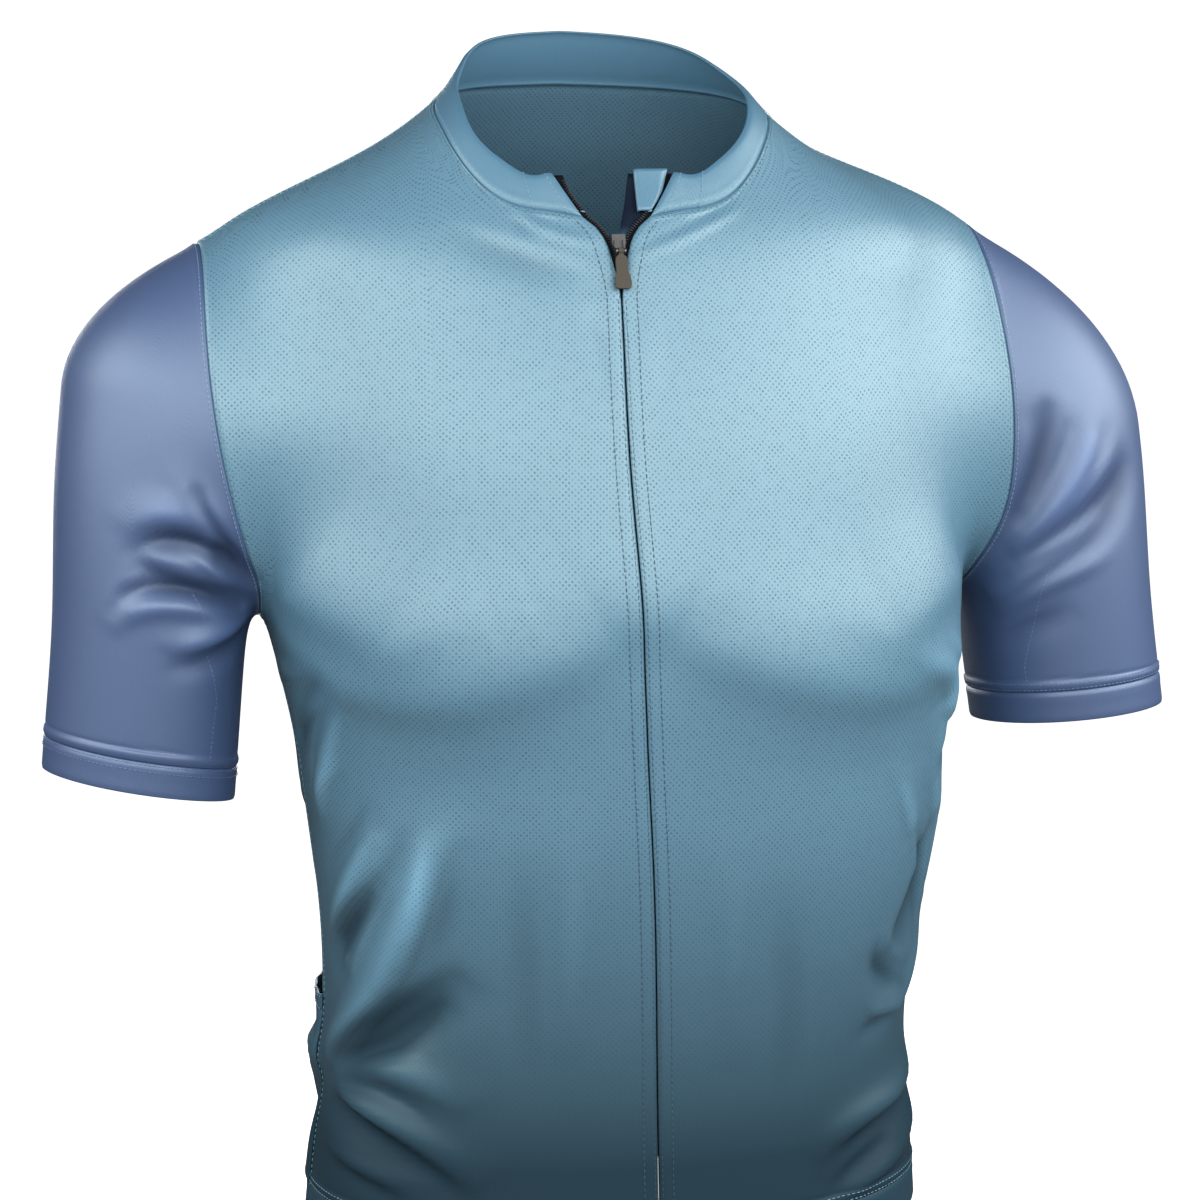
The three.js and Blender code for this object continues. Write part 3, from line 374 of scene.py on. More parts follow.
def fold_height(p, widest=99):
    """How far the folds raise the cloth at each point. A fold's lower side is the steep one."""
    shape = p.shape[:-1]
    p = p.reshape(-1, 3)
    height = np.zeros(len(p))
    for line, (_, _, _, wide, high) in FOLDS:
        if wide > widest:
            continue
        size = np.linalg.norm(np.diff(line, axis=0), axis=1).sum() / 2 + 3 * wide
        near = np.nonzero(((p - line[FOLD_STEPS // 2]) ** 2).sum(1) < size**2)[0]
        if not len(near):
            continue
        q = p[near]
        best, place, level = np.full(len(q), 1e9), np.zeros(len(q)), np.zeros(len(q))
        for i, (a, b) in enumerate(zip(line[:-1], line[1:])):
            t = np.clip((q - a) @ (b - a) / ((b - a) @ (b - a)), 0, 1)
            far = np.linalg.norm(q - a - t[:, None] * (b - a), axis=1)
            closer = far < best
            level = np.where(closer, a[2] + t * (b[2] - a[2]), level)
            best, place = np.where(closer, far, best), np.where(closer, (i + t) / FOLD_STEPS, place)
        fade = np.sin(np.pi * (0.08 + 0.84 * place)) ** 0.8
        above = np.tanh((q[:, 2] - level) / (0.4 * wide)) * np.sign(high)
        height[near] += high * fade * np.exp(-((best / (wide * (1 + LEAN * above))) ** 2))
    return height.reshape(shape)


inside = round(float(form(np.array([0.0, 0, -200]))), 1)
print("folds:", len(FOLDS), "- the form reads", inside, "mm in the middle of the chest")

# %% [markdown]
# ## Seams
#
# Each seam is one run of points that the pieces on both sides of it share.

# %% Runs of points along the seams
def ways_along(points):
    """How far along its line each point lies."""
    return np.concatenate([[0], np.cumsum(np.linalg.norm(np.diff(points, axis=0), axis=1))])


def evenly(points, steps):
    far = ways_along(points)
    want = np.linspace(0, far[-1], steps * FINE + 1)
    return np.stack([np.interp(want, far, points[:, k]) for k in range(3)], -1)


def joined(*runs):
    return np.concatenate([runs[0], *[run[1:] for run in runs[1:]]])


def armhole_points(side, angle):
    angle = np.radians(angle)

    def path_at(r):
        z = ARMHOLE_MIDDLE[1] - r * np.cos(angle)
        return np.stack([side * armhole_x[side](z), ARMHOLE_MIDDLE[0] - r * np.sin(angle), z], -1)
    return reach(path_at, angle.shape)


def seams_of(side):
    share = np.linspace(0, 1, 101)
    armhole = {face: armhole_points(side, face * 180 * share) for face in (1, -1)}
    armpit, tip = armhole[1][0], armhole[1][-1]
    neck_turn = side * (NECK_START + (SHOULDER_SEAM_TURN - NECK_START) * share)
    neck = around(neck_turn, neck_seam(np.abs(neck_turn)))
    down = around(np.full(101, side * 90.0), armpit[2] - 6 + (hem_z(90) - armpit[2] + 6) * share)
    down[0] = armpit
    edge_z = hem_z(0) + (neck[0, 2] - hem_z(0)) * share
    edge = on_front(zip_x(edge_z) + side * opening_half(edge_z), edge_z)
    edge[-1] = neck[0]
    hem = around(side * 90 * share, hem_z(90 * share))
    hem[0] = edge[0]
    return dict(
        neck=evenly(neck, STEPS["neck"]),
        shoulder=evenly(settle(neck[-1] + (tip - neck[-1]) * share[:, None], 8), STEPS["shoulder"]),
        armhole_front=evenly(armhole[1], STEPS["armhole"]),
        armhole_back=evenly(armhole[-1], STEPS["armhole"]),
        side=evenly(down, STEPS["side"])[::-1],
        edge=evenly(edge, STEPS["side"] + STEPS["armhole"]),
        hem=evenly(hem, STEPS["neck"] + STEPS["shoulder"]))


SEAMS = {side: seams_of(side) for side in (-1, 1)}
nape_turn = np.linspace(-SHOULDER_SEAM_TURN, SHOULDER_SEAM_TURN - 360, 121)
nape = evenly(around(nape_turn, neck_seam(np.minimum(-nape_turn, 360 + nape_turn))), STEPS["nape"])
back_turn = np.linspace(-90, -270, 161)
hem_back = evenly(around(back_turn, hem_z(np.minimum(-back_turn, 360 + back_turn))),
                  STEPS["nape"] + 2 * STEPS["shoulder"])
ARMHOLES = {side: joined(s["armhole_front"], s["armhole_back"][::-1]) for side, s in SEAMS.items()}
print("armhole seams:", [round(float(ways_along(run)[-1])) for run in ARMHOLES.values()], "mm round")

# %% [markdown]
# ## Panels
#
# A panel is filled between its four seams, laid on the form and evened out, first on a
# coarse grid. The grid is then made finer, with a few close rows beside each sewn edge, so
# that the edge can roll down into its seam.

# %% Filling and refining a panel
def filled(bottom, top, left, right, u, v):
    u, v = u[None, :, None], v[:, None, None]
    low, high, first, last = bottom[None], top[None], left[:, None], right[:, None]
    return ((1 - v) * low + v * high + (1 - u) * first + u * last
            - (1 - u) * (1 - v) * bottom[0] - u * (1 - v) * bottom[-1]
            - (1 - u) * v * top[0] - u * v * top[-1])


def evened(grid, rounds, top_rows=0):
    rim = grid.copy()
    for _ in range(rounds):
        inside = (grid[:-2, 1:-1] + grid[2:, 1:-1] + grid[1:-1, :-2] + grid[1:-1, 2:]) / 4
        grid[1:-1, 1:-1] = settle(inside, 1)
        if top_rows:
            grid[-3, 1:-1] = grid[-4, 1:-1] * 2 / 3 + rim[-1, 1:-1] / 3
            grid[-2, 1:-1] = grid[-4, 1:-1] / 3 + rim[-1, 1:-1] * 2 / 3
    return grid


def coarse_panel(bottom, top, left, right):
    bottom, top, left, right = (run[::FINE] for run in (bottom, top, left, right))
    u, v = np.linspace(0, 1, len(bottom)), np.linspace(0, 1, len(left))
    grid = filled(bottom, top, left, right, u, v)
    grid[1:-1, 1:-1] = settle(grid[1:-1, 1:-1], 10)
    grid = evened(grid, 7, top_rows=2)
    grid[1:-1, 1:-1] = settle(grid[1:-1, 1:-1], 5)
    return grid


BESIDE_SEAM = (0.6, 1.6, 3.2)
BESIDE_STRIP = (*BESIDE_SEAM, 4.2, 4.8, 5.4, 6.2)


def places(count, per, step, low, high, near=BESIDE_SEAM):
    """Places of the finer rows between count + 1 coarse ones, closer beside sewn ends."""
    even = np.linspace(0, count, count * per + 1)
    beside = np.array(near) / step
    keep = np.ones(len(even), bool)
    extra = []
    for sewn, end, way in ((low, 0, 1), (high, count, -1)):
        if sewn:
            keep &= (np.abs(even - end) < 1e-9) | (np.abs(even - end) > beside[-1] + 0.5 / per)
            extra.append(end + way * beside)
    return np.sort(np.concatenate([even[keep], *extra]))


def at_places(run, where):
    index = np.arange(len(run)) / FINE
    return np.stack([np.interp(where, index, run[:, k]) for k in range(run.shape[1])], -1)


def step_of(grid, axis):
    return float(np.linalg.norm(np.diff(grid, axis=axis), axis=-1).mean())


def finer(grid, runs, across, up):
    """The coarse grid at finer places, with its rim exactly on the seams' runs."""
    fine = np.einsum("ai,ijk,bj->abk", spline_weights(len(grid) - 1, up), grid,
                     spline_weights(len(grid[0]) - 1, across))
    if runs:
        bottom, top, left, right = runs
        off = (at_places(bottom, across) - fine[0], at_places(top, across) - fine[-1],
               at_places(left, up) - fine[:, 0], at_places(right, up) - fine[:, -1])
        fine += filled(*off, across / across[-1], up / up[-1])
    return fine


def flattened(grid, start):
    """Lays a grid of points out flat, keeping the lengths of its sides and diagonals."""
    flat = start.copy()
    a, b, c = slice(1, None), slice(None, -1), slice(None)
    links = [((c, a), (c, b)), ((a, c), (b, c)), ((a, a), (b, b)), ((a, b), (b, a))]
    rests = [np.linalg.norm(grid[p] - grid[q], axis=-1)[..., None] for p, q in links]
    for _ in range(500):
        push = np.zeros_like(flat)
        for (p, q), rest in zip(links, rests):
            gap = flat[p] - flat[q]
            shift = gap * (1 - rest / np.maximum(np.linalg.norm(gap, axis=-1, keepdims=True), 1e-9))
            push[p] -= shift
            push[q] += shift
        flat += 0.11 * push
    return flat


def from_edges(grid, sewn):
    """Distance of each point from the nearest sewn edge."""
    rims = {"bottom": grid[:1], "top": grid[-1:], "left": grid[:, :1], "right": grid[:, -1:]}
    far = np.full(grid.shape[:2], 1e3)
    for edge in sewn:
        far = np.minimum(far, np.linalg.norm(grid - rims[edge], axis=-1))
    return far


def hump(far, width):
    """A rounded rise that is one at a line and nothing a few widths away."""
    return np.exp(-((far / width) ** 2))


def seam_roll(far):
    """The dip at a seam and the slight swell of the allowance beside it."""
    return -0.7 * hump(far, 0.9) + 0.22 * hump(far - 3, 1.6)


print("rows beside a sewn edge, mm from it:", BESIDE_STRIP)

# %% [markdown]
# ## Shells
#
# A shell has an outer face, an inner face one wall behind it and a rim all round. Its UV
# map is the flat cut in millimetres, so that the knit keeps its size and grain everywhere.

# %% Making a shell
OBJECTS = {}
WIDEST_CREASE = 14  # wider folds, such as the chest's edge, add no painted shade or highlight to the knit


def make_mesh(name, points, faces, uv=None):
    mesh = bpy.data.meshes.new(name)
    mesh.from_pydata((np.asarray(points) / 1000).tolist(), [], faces.tolist())
    if uv is not None:
        layer = mesh.uv_layers.new(name="Cut")
        layer.data.foreach_set("uv", np.asarray(uv, np.float32).ravel())
    mesh.shade_smooth()
    mesh.update()
    obj = bpy.data.objects.new(name, mesh)
    bpy.context.scene.collection.objects.link(obj)
    OBJECTS[name] = obj
    return obj


def shell(name, outer, inner, uv, wraps=False):
    rows, columns = outer.shape[:2]
    wide = columns if wraps else columns - 1
    j, i = np.meshgrid(np.arange(rows - 1), np.arange(wide), indexing="ij")
    j, i = j.ravel(), i.ravel()

    def quads(*corners):
        """Faces whose corners are given as layer (0 outer, 1 inner), row and column."""
        return np.stack([np.stack(np.broadcast_arrays(*corner), -1) for corner in corners], 1)

    k, end = np.arange(wide), rows - 1
    face = [quads((0, j, i), (0, j, i + 1), (0, j + 1, i + 1), (0, j + 1, i)),
            quads((1, j, i), (1, j + 1, i), (1, j + 1, i + 1), (1, j, i + 1)),
            quads((0, 0, k + 1), (0, 0, k), (1, 0, k), (1, 0, k + 1)),
            quads((0, end, k), (0, end, k + 1), (1, end, k + 1), (1, end, k))]
    if not wraps:
        k = np.arange(end)
        face += [quads((0, k, 0), (0, k + 1, 0), (1, k + 1, 0), (1, k, 0)),
                 quads((0, k + 1, wide), (0, k, wide), (1, k, wide), (1, k + 1, wide))]
    face = np.concatenate(face)
    row, column = rows // 2, columns // 3
    a, b, c = outer[row, column], outer[row, column + 1], outer[row + 1, column]
    if np.cross(b - a, c - a) @ (a - inner[row, column]) < 0:
        face = face[:, ::-1]
    index = face[..., 0] * rows * columns + face[..., 1] * columns + face[..., 2] % columns
    points = np.concatenate([outer.reshape(-1, 3), inner.reshape(-1, 3)])
    return make_mesh(name, points, index, uv[face[..., 1], face[..., 2]].reshape(-1, 2))


def area_of(grid):
    a, b = grid[1:, 1:] - grid[:-1, :-1], grid[1:, :-1] - grid[:-1, 1:]
    return float(np.linalg.norm(np.cross(a, b), axis=-1).sum() / 2)


def cloth(name, grid, uv, sewn=(), lift=0.0, wall=WALL, wraps=False):
    """A shell on the form, raised by the folds and by its own lift, rolled in at its seams."""
    normals = normal_at(grid)
    height = fold_height(grid) + seam_roll(from_edges(grid, sewn)) + lift
    outer = grid + normals * height[..., None]
    obj = shell(name, outer, outer - normals * wall, uv, wraps)
    # The Crease attribute drives the knit's painted shade in troughs and painted highlight on ridges
    crease = np.tile(fold_height(grid, WIDEST_CREASE).ravel(), 2).astype(np.float32)
    obj.data.attributes.new("Crease", "FLOAT", "POINT").data.foreach_set("value", crease)
    obj["area_mm2"] = area_of(np.concatenate([outer, outer[:, :1]], 1) if wraps else outer)
    obj["flat_mm"] = [float(x) for x in np.ptp(uv.reshape(-1, 2), axis=0)]
    return obj


PER = 6
STRIP = 4.6


def band_lift(far):
    """A raised strip beside a seam, between two grooves."""
    inside = 0.5 - 0.5 * np.tanh((far - STRIP) / 0.5)
    return 0.42 * inside - 0.35 * hump(far - STRIP - 0.7, 0.6)


print("faces between two coarse places:", PER, "- raised strip:", STRIP, "mm")


# %% Fronts and back
def make_panel(name, runs, start, sewn, bands):
    grid = coarse_panel(*runs)
    wide, tall = step_of(grid, 1), step_of(grid, 0)
    across = places(len(grid[0]) - 1, PER, wide, "left" in sewn, "right" in sewn)
    up = places(len(grid) - 1, PER, tall, "bottom" in sewn, "top" in sewn, BESIDE_STRIP)
    flat = flattened(grid, start(grid))
    fine = finer(grid, runs, across, up)
    fine[1:-1, 1:-1] = settle(fine[1:-1, 1:-1], 2)
    uv = finer(flat, None, across, up)
    far = from_edges(fine, bands)
    obj = cloth(name, fine, uv, sewn, band_lift(far))
    print(name, "cut", [round(x) for x in obj["flat_mm"]], "mm,", len(obj.data.polygons), "faces")
    return grid, flat


ALL_ROUND = ("bottom", "top", "left", "right")
for side, word in SIDES:
    s = SEAMS[side]
    runs = (s["hem"], joined(s["neck"], s["shoulder"]), s["edge"],
            joined(s["side"], s["armhole_front"]))
    make_panel(f"cloth_front_{word}", runs, lambda g: g[..., [0, 2]], ALL_ROUND, ("bottom",))

back_runs = (hem_back, joined(SEAMS[-1]["shoulder"][::-1], nape, SEAMS[1]["shoulder"]),
             joined(SEAMS[-1]["side"], SEAMS[-1]["armhole_back"]),
             joined(SEAMS[1]["side"], SEAMS[1]["armhole_back"]))
back_grid, back_flat = make_panel("cloth_back", back_runs, lambda g: g[..., [0, 2]] * (1.2, 1),
                                  ALL_ROUND, ("bottom",))

# %% Three pockets that share one patch
POCKET_ROWS = 6
DIVIDERS = np.array([[1 / 3], [2 / 3]])
ELASTIC = 9  # how deep the elastic top is
wide, tall = step_of(back_grid, 1), step_of(back_grid, 0)
columns = len(back_grid[0]) - 1
thirds = columns * DIVIDERS + np.array([-1.2, 0, 1.2]) / wide
pocket_across = np.unique(np.concatenate([places(columns, PER, wide, True, True), thirds.ravel()]))
pocket_up = places(len(back_grid) - 1, PER, tall, True, False)
elastic = POCKET_ROWS - np.array([0.5, 1.2, ELASTIC - 1, ELASTIC, ELASTIC + 1]) / tall
pocket_up = np.unique(np.concatenate([pocket_up[pocket_up <= POCKET_ROWS], elastic]))
pocket = settle(finer(back_grid, None, pocket_across, pocket_up), 2)
u = pocket_across / columns
v = pocket_up / POCKET_ROWS
bulge = 3.2 * np.abs(np.sin(3 * np.pi * u)) ** 0.8 * (v[:, None] ** 2)
down = (POCKET_ROWS - pocket_up) * tall
rim = 0.35 * (down < ELASTIC - 0.5) - 0.35 * hump(down - ELASTIC, 0.8)
gather = 0.35 * np.sin(u * 190 + 0.6 * np.sin(u * 47)) * np.exp(-down[:, None] / 7)
divide = -0.9 * hump(np.abs(u[None] - DIVIDERS).min(0) * wide * columns, 1.2)
pocket_lift = 1.6 + bulge + rim[:, None] + gather + divide[None]
obj = cloth("cloth_pockets", pocket, finer(back_flat, None, pocket_across, pocket_up),
            ("bottom", "left", "right"), pocket_lift)
print("pockets cut", [round(x) for x in obj["flat_mm"]], "mm")

# %% Bands along the hem
def place_of(points):
    return np.degrees(np.arctan2(points[:, 0] - zip_x(points[:, 2]), mid(points[:, 2]) - points[:, 1]))


band_rows = np.array([0, 0.6, 1.6, 3, 6, 10, 13.5, 15.6, 16.6, 17.0])


def make_band(name, run, count):
    where = places(count, PER, np.linalg.norm(run[FINE] - run[0]), False, True)
    seam = at_places(run, where)
    turn = place_of(seam)
    grid = around(turn[None], seam[None, :, 2] - band_rows[::-1, None])
    grid[-1] = seam
    long = ways_along(seam)
    uv = np.stack(np.broadcast_arrays(long[None], -band_rows[::-1, None]), -1)
    edge = -0.3 * hump(HEM_DEEP - band_rows[::-1, None], 0.8)
    obj = cloth(name, grid, uv, ("top", "left", "right"), edge + 0.15)
    print(name, "cut", [round(x) for x in obj["flat_mm"]], "mm")


for side, word in SIDES:
    make_band(f"band_hem_{word}", SEAMS[side]["hem"], STEPS["neck"] + STEPS["shoulder"])
make_band("band_hem_back", hem_back, STEPS["nape"] + 2 * STEPS["shoulder"])

# %% Sleeves and cuffs
CUFF_SEAMS = {}
for side, word in SIDES:
    arm = ARMS[side]
    hole = ARMHOLES[side]
    count = 2 * STEPS["armhole"]

    def cuff_at(turn, up):
        outer = (1 + np.sin(np.radians(turn))) / 2
        ends = arm["cuff_inner"] + (arm["cuff_outer"] - arm["cuff_inner"]) * outer
        return on_arm(side, turn, ends - up)
    turn = -90 + 360 * np.arange(count) / count
    coarse_hole, end = hole[:-1:FINE], cuff_at(turn, CUFF_DEEP)
    t = np.linspace(0, 1, STEPS["sleeve"] + 1)[:, None, None]
    grid = coarse_hole * (1 - t) + end * t
    grid[1:-1] = settle(grid[1:-1], 8)
    for _ in range(8):
        around_it = (np.roll(grid, 1, 1) + np.roll(grid, -1, 1))[1:-1]
        grid[1:-1] = settle((grid[:-2] + grid[2:] + around_it) / 4, 3)
    ring = np.concatenate([grid[:, -4:], grid, grid[:, :5]], 1)
    opened = np.concatenate([grid, grid[:, :1]], 1)
    start = np.stack(np.broadcast_arrays(np.arange(count + 1) * 13.0, -t[..., 0] * 150), -1)
    flat = flattened(opened, start)
    across = np.linspace(0, count, count * PER + 1)
    up = places(STEPS["sleeve"], PER, step_of(grid, 0), True, True, BESIDE_STRIP)
    fine = np.einsum("ai,ijk,bj->abk", spline_weights(STEPS["sleeve"], up), ring,
                     spline_weights(count + 8, across[:-1] + 4))
    share = (up / STEPS["sleeve"])[:, None, None]
    rim_turn = -90 + 360 * across[:-1] / count
    off_top = at_places(hole, across[:-1]) - fine[0]
    fine += (1 - share) * off_top + share * (cuff_at(rim_turn, CUFF_DEEP) - fine[-1])
    fine[1:-1] = settle(fine[1:-1], 2)
    uv = finer(flat, None, across, up)
    obj = cloth(f"cloth_sleeve_{word}", fine, uv, ("bottom", "top"),
                band_lift(from_edges(fine, ("top",))), wraps=True)
    print(obj.name, "cut", [round(x) for x in obj["flat_mm"]], "mm,", len(obj.data.polygons), "faces")
    rows = np.array([0, 0.6, 1.6, 3, 6, 9.5, 12, 13.6, 14.5, 15])
    cuff = cuff_at(rim_turn[None], (CUFF_DEEP - rows)[:, None])
    long = np.linalg.norm(np.diff(cuff[0], axis=0), axis=1).sum() / (len(across) - 2)
    cuff_uv = np.stack(np.broadcast_arrays(long * np.arange(len(across))[None], rows[:, None]), -1)
    edge = -0.3 * hump(CUFF_DEEP - rows[:, None], 0.8)
    cloth(f"band_cuff_{word}", cuff, cuff_uv, ("bottom",), edge + 0.1, wraps=True)
    CUFF_SEAMS[side] = cuff_at(np.linspace(-90, 270, 241), CUFF_DEEP)

# %% Collar
collar_run = joined(SEAMS[1]["neck"], nape[::-1], SEAMS[-1]["neck"][::-1])
collar_count = 2 * STEPS["neck"] + STEPS["nape"]
where = places(collar_count, PER, 18, True, True)
seam = at_places(collar_run, where)
turn = place_of(seam)
size = np.abs(turn)
spread = COLLAR_SPREAD * np.exp(-(size - NECK_START) / 18)
up = np.array([0, 0.03, 0.08, 0.16, 0.26, 0.37, 0.48, 0.6, 0.72, 0.83, 0.91, 0.96, 0.985, 1])[:, None]
new_turn = np.sign(turn) * (size + spread * up)
collar = around(new_turn, neck_seam(size) * (1 - up) + neck_top(size + spread) * up)
collar[0] = seam
long = ways_along(seam)
rise = np.linalg.norm(np.diff(collar, axis=0), axis=-1).cumsum(0)
rise = np.concatenate([np.zeros((1, len(seam))), rise])
collar_uv = np.stack(np.broadcast_arrays(long[None], rise), -1)
roll = 1.5 * up + 0.5 * np.sin(np.pi * up) - 0.9 * hump(rise[-1] - rise, 1.1)
cloth("cloth_collar", collar, collar_uv, ("bottom", "left", "right"), roll, wall=1.2)
print("collar is", round(float(rise[-1].min())), "to", round(float(rise[-1].max())), "mm high")

# %% [markdown]
# ## Zip
#
# Tapes, guard and the fold over the zip's top end are strips drawn across the zip's line as
# places from its middle and depths behind the cloth. The slider and its pull are the CAD
# ones, with a small bevel.

# %% Strips along the zip
def strip(name, heights, section_at, thick):
    section = np.array([section_at(z) for z in heights], float)
    along = np.gradient(section, axis=1)
    along /= np.linalg.norm(along, axis=-1, keepdims=True)
    turned = np.stack([-along[..., 1], along[..., 0]], -1)
    z = np.asarray(heights, float)[:, None]
    faces = []
    for off in (thick / 2, -thick / 2):
        across = section[..., 0] + turned[..., 0] * off
        base = on_front(zip_x(z) + across, np.broadcast_to(z, across.shape))
        level = section[..., 1] + turned[..., 1] * off + fold_height(base)
        faces.append(base + normal_at(base) * level[..., None])
    uv = np.stack([section[..., 0], np.broadcast_to(z, section.shape[:2])], -1)
    obj = shell(name, faces[0], faces[1], uv)
    obj["area_mm2"] = area_of(faces[0])
    obj["flat_mm"] = [float(np.abs(np.diff(section[..., 0], axis=1)).sum(1).max()), float(np.ptp(z))]
    return obj


TAPE_LEVEL, GUARD_LEVEL = -2.65, -4.05
zip_heights = np.concatenate([np.linspace(-497, -78, 90), np.linspace(-74, -24.5, 30)])


def tape_edge(z):
    return max(float(opening_half(z)) - 3.2, 0.35)


for side, word in SIDES:
    strip(f"tape_{word}", zip_heights, lambda z: [
        (side * t, TAPE_LEVEL) for t in np.linspace(tape_edge(z), opening_half(z) + 8, 6)], 0.8)
guard_edge = np.array([(-92, -2), (-51, 0.5), (-46, 2.2), (-36, 5), (-23, 8)], float)


def guard_section(z):
    first = np.interp(z, guard_edge[:, 0], guard_edge[:, 1])
    return [(t, GUARD_LEVEL) for t in np.linspace(first, opening_half(z) + 6, 7)]


def garage_section(z):
    wide = float(opening_half(z))
    return [(wide - 0.7, -0.8), (wide * 0.75 + 2.7, -0.72), (wide / 2 + 5.5, -0.7), (12.6, -0.74),
            (11.6, -0.82), (10.8, -1.05), (10.4, -1.4), (10.3, -2.3)]


strip("zip_guard_cloth", np.linspace(-92, -23.5, 34), guard_section, 1.0)
strip("zip_garage_cloth", np.linspace(-40.5, -22.5, 14), garage_section, 0.9)
for node, size in (("zip_slider", 0.00018), ("zip_pull", 0.00028)):
    bevel = frame["nodes"][node].modifiers.new("Soft edges", "BEVEL")
    bevel.width, bevel.segments = size, 3
    bevel.limit_method, bevel.angle_limit = "ANGLE", math.radians(35)
print("zip pieces:", [n for n in OBJECTS if "zip" in n or "tape" in n])

# %% [markdown]
# ## Repeats along a line
#
# Stitches and the zip's coil are one small rounded body repeated along a line that lies on
# the cloth. One Geometry Nodes group does this for every seam, with its sizes as inputs.

# %% The group that repeats a stitch
def new_group(name, kind, inputs, outputs):
    group = bpy.data.node_groups.new(name, kind)
    for socket, form_, value in inputs:
        made = group.interface.new_socket(socket, in_out="INPUT", socket_type=form_)
        if value is not None:
            made.default_value = value
    for socket, form_ in outputs:
        group.interface.new_socket(socket, in_out="OUTPUT", socket_type=form_)
    return group, group.nodes.new("NodeGroupInput"), group.nodes.new("NodeGroupOutput")


repeat, given, result = new_group(
    "Repeat along a line", "GeometryNodeTree",
    [("Line", "NodeSocketGeometry", None), ("Spacing", "NodeSocketFloat", 0.003),
     ("Length", "NodeSocketFloat", 0.0024), ("Width", "NodeSocketFloat", 0.0006),
     ("Height", "NodeSocketFloat", 0.0004), ("Unevenness", "NodeSocketFloat", 0.08),
     ("Seed", "NodeSocketInt", 3), ("Material", "NodeSocketMaterial", None)],
    [("Pieces", "NodeSocketGeometry")])
repeat.is_modifier = True
n, join = repeat.nodes.new, repeat.links.new
to_curve, sample = n("GeometryNodeMeshToCurve"), n("GeometryNodeResampleCurve")
tangent, out = n("GeometryNodeInputTangent"), n("GeometryNodeInputNamedAttribute")
first, second = n("FunctionNodeAlignRotationToVector"), n("FunctionNodeAlignRotationToVector")
ball, size = n("GeometryNodeMeshUVSphere"), n("ShaderNodeCombineXYZ")
chance, place = n("FunctionNodeRandomValue"), n("GeometryNodeInstanceOnPoints")
realize, paint = n("GeometryNodeRealizeInstances"), n("GeometryNodeSetMaterial")
uneven, low_size, high_size = n("ShaderNodeVectorMath"), n("ShaderNodeMath"), n("ShaderNodeMath")
sample.mode = "LENGTH"
out.data_type = "FLOAT_VECTOR"
out.inputs["Name"].default_value = "out"
first.axis, second.axis, second.pivot_axis = "X", "Z", "X"
SEGMENTS, RINGS, SEED = 6, 4, 3
BALL_FACES = SEGMENTS * RINGS
ball.inputs["Segments"].default_value, ball.inputs["Rings"].default_value = SEGMENTS, RINGS
ball.inputs["Radius"].default_value = 0.5
uneven.operation = "SCALE"
low_size.operation, high_size.operation = "SUBTRACT", "ADD"
low_size.inputs[0].default_value = high_size.inputs[0].default_value = 1
join(given.outputs["Line"], to_curve.inputs["Mesh"])
join(to_curve.outputs["Curve"], sample.inputs["Curve"])
join(given.outputs["Spacing"], sample.inputs["Length"])
join(tangent.outputs["Tangent"], first.inputs["Vector"])
join(first.outputs["Rotation"], second.inputs["Rotation"])
join(out.outputs["Attribute"], second.inputs["Vector"])
join(given.outputs["Unevenness"], low_size.inputs[1])
join(given.outputs["Unevenness"], high_size.inputs[1])
join(low_size.outputs[0], chance.inputs[2])
join(high_size.outputs[0], chance.inputs[3])
join(given.outputs["Seed"], chance.inputs["Seed"])
for axis, name in zip("XYZ", ("Length", "Width", "Height")):
    join(given.outputs[name], size.inputs[axis])
join(size.outputs["Vector"], uneven.inputs[0])
join(chance.outputs[1], uneven.inputs["Scale"])
join(sample.outputs["Curve"], place.inputs["Points"])
join(ball.outputs["Mesh"], place.inputs["Instance"])
join(second.outputs["Rotation"], place.inputs["Rotation"])
join(uneven.outputs["Vector"], place.inputs["Scale"])
join(place.outputs["Instances"], realize.inputs["Geometry"])
join(realize.outputs["Geometry"], paint.inputs["Geometry"])
join(given.outputs["Material"], paint.inputs["Material"])
join(paint.outputs["Geometry"], result.inputs["Pieces"])
SOCKETS = {item.name: item.identifier for item in repeat.interface.items_tree if item.in_out == "INPUT"}
print("inputs of the group:", list(SOCKETS))

# %% Lines on the cloth
def beside(run, off, dip=0.0, every=3):
    """A line that runs beside a seam at a distance, on the folded cloth, with the way out."""
    run = run[::every]
    tangent_ = np.gradient(run, axis=0)
    normal = normal_at(run)
    square = np.cross(tangent_, normal)
    square /= np.linalg.norm(square, axis=1, keepdims=True)
    moved = settle(run + square * off, 3)
    normal = normal_at(moved)
    height = fold_height(moved) + seam_roll(np.full(len(moved), abs(off))) + dip
    return moved + normal * height[:, None], normal


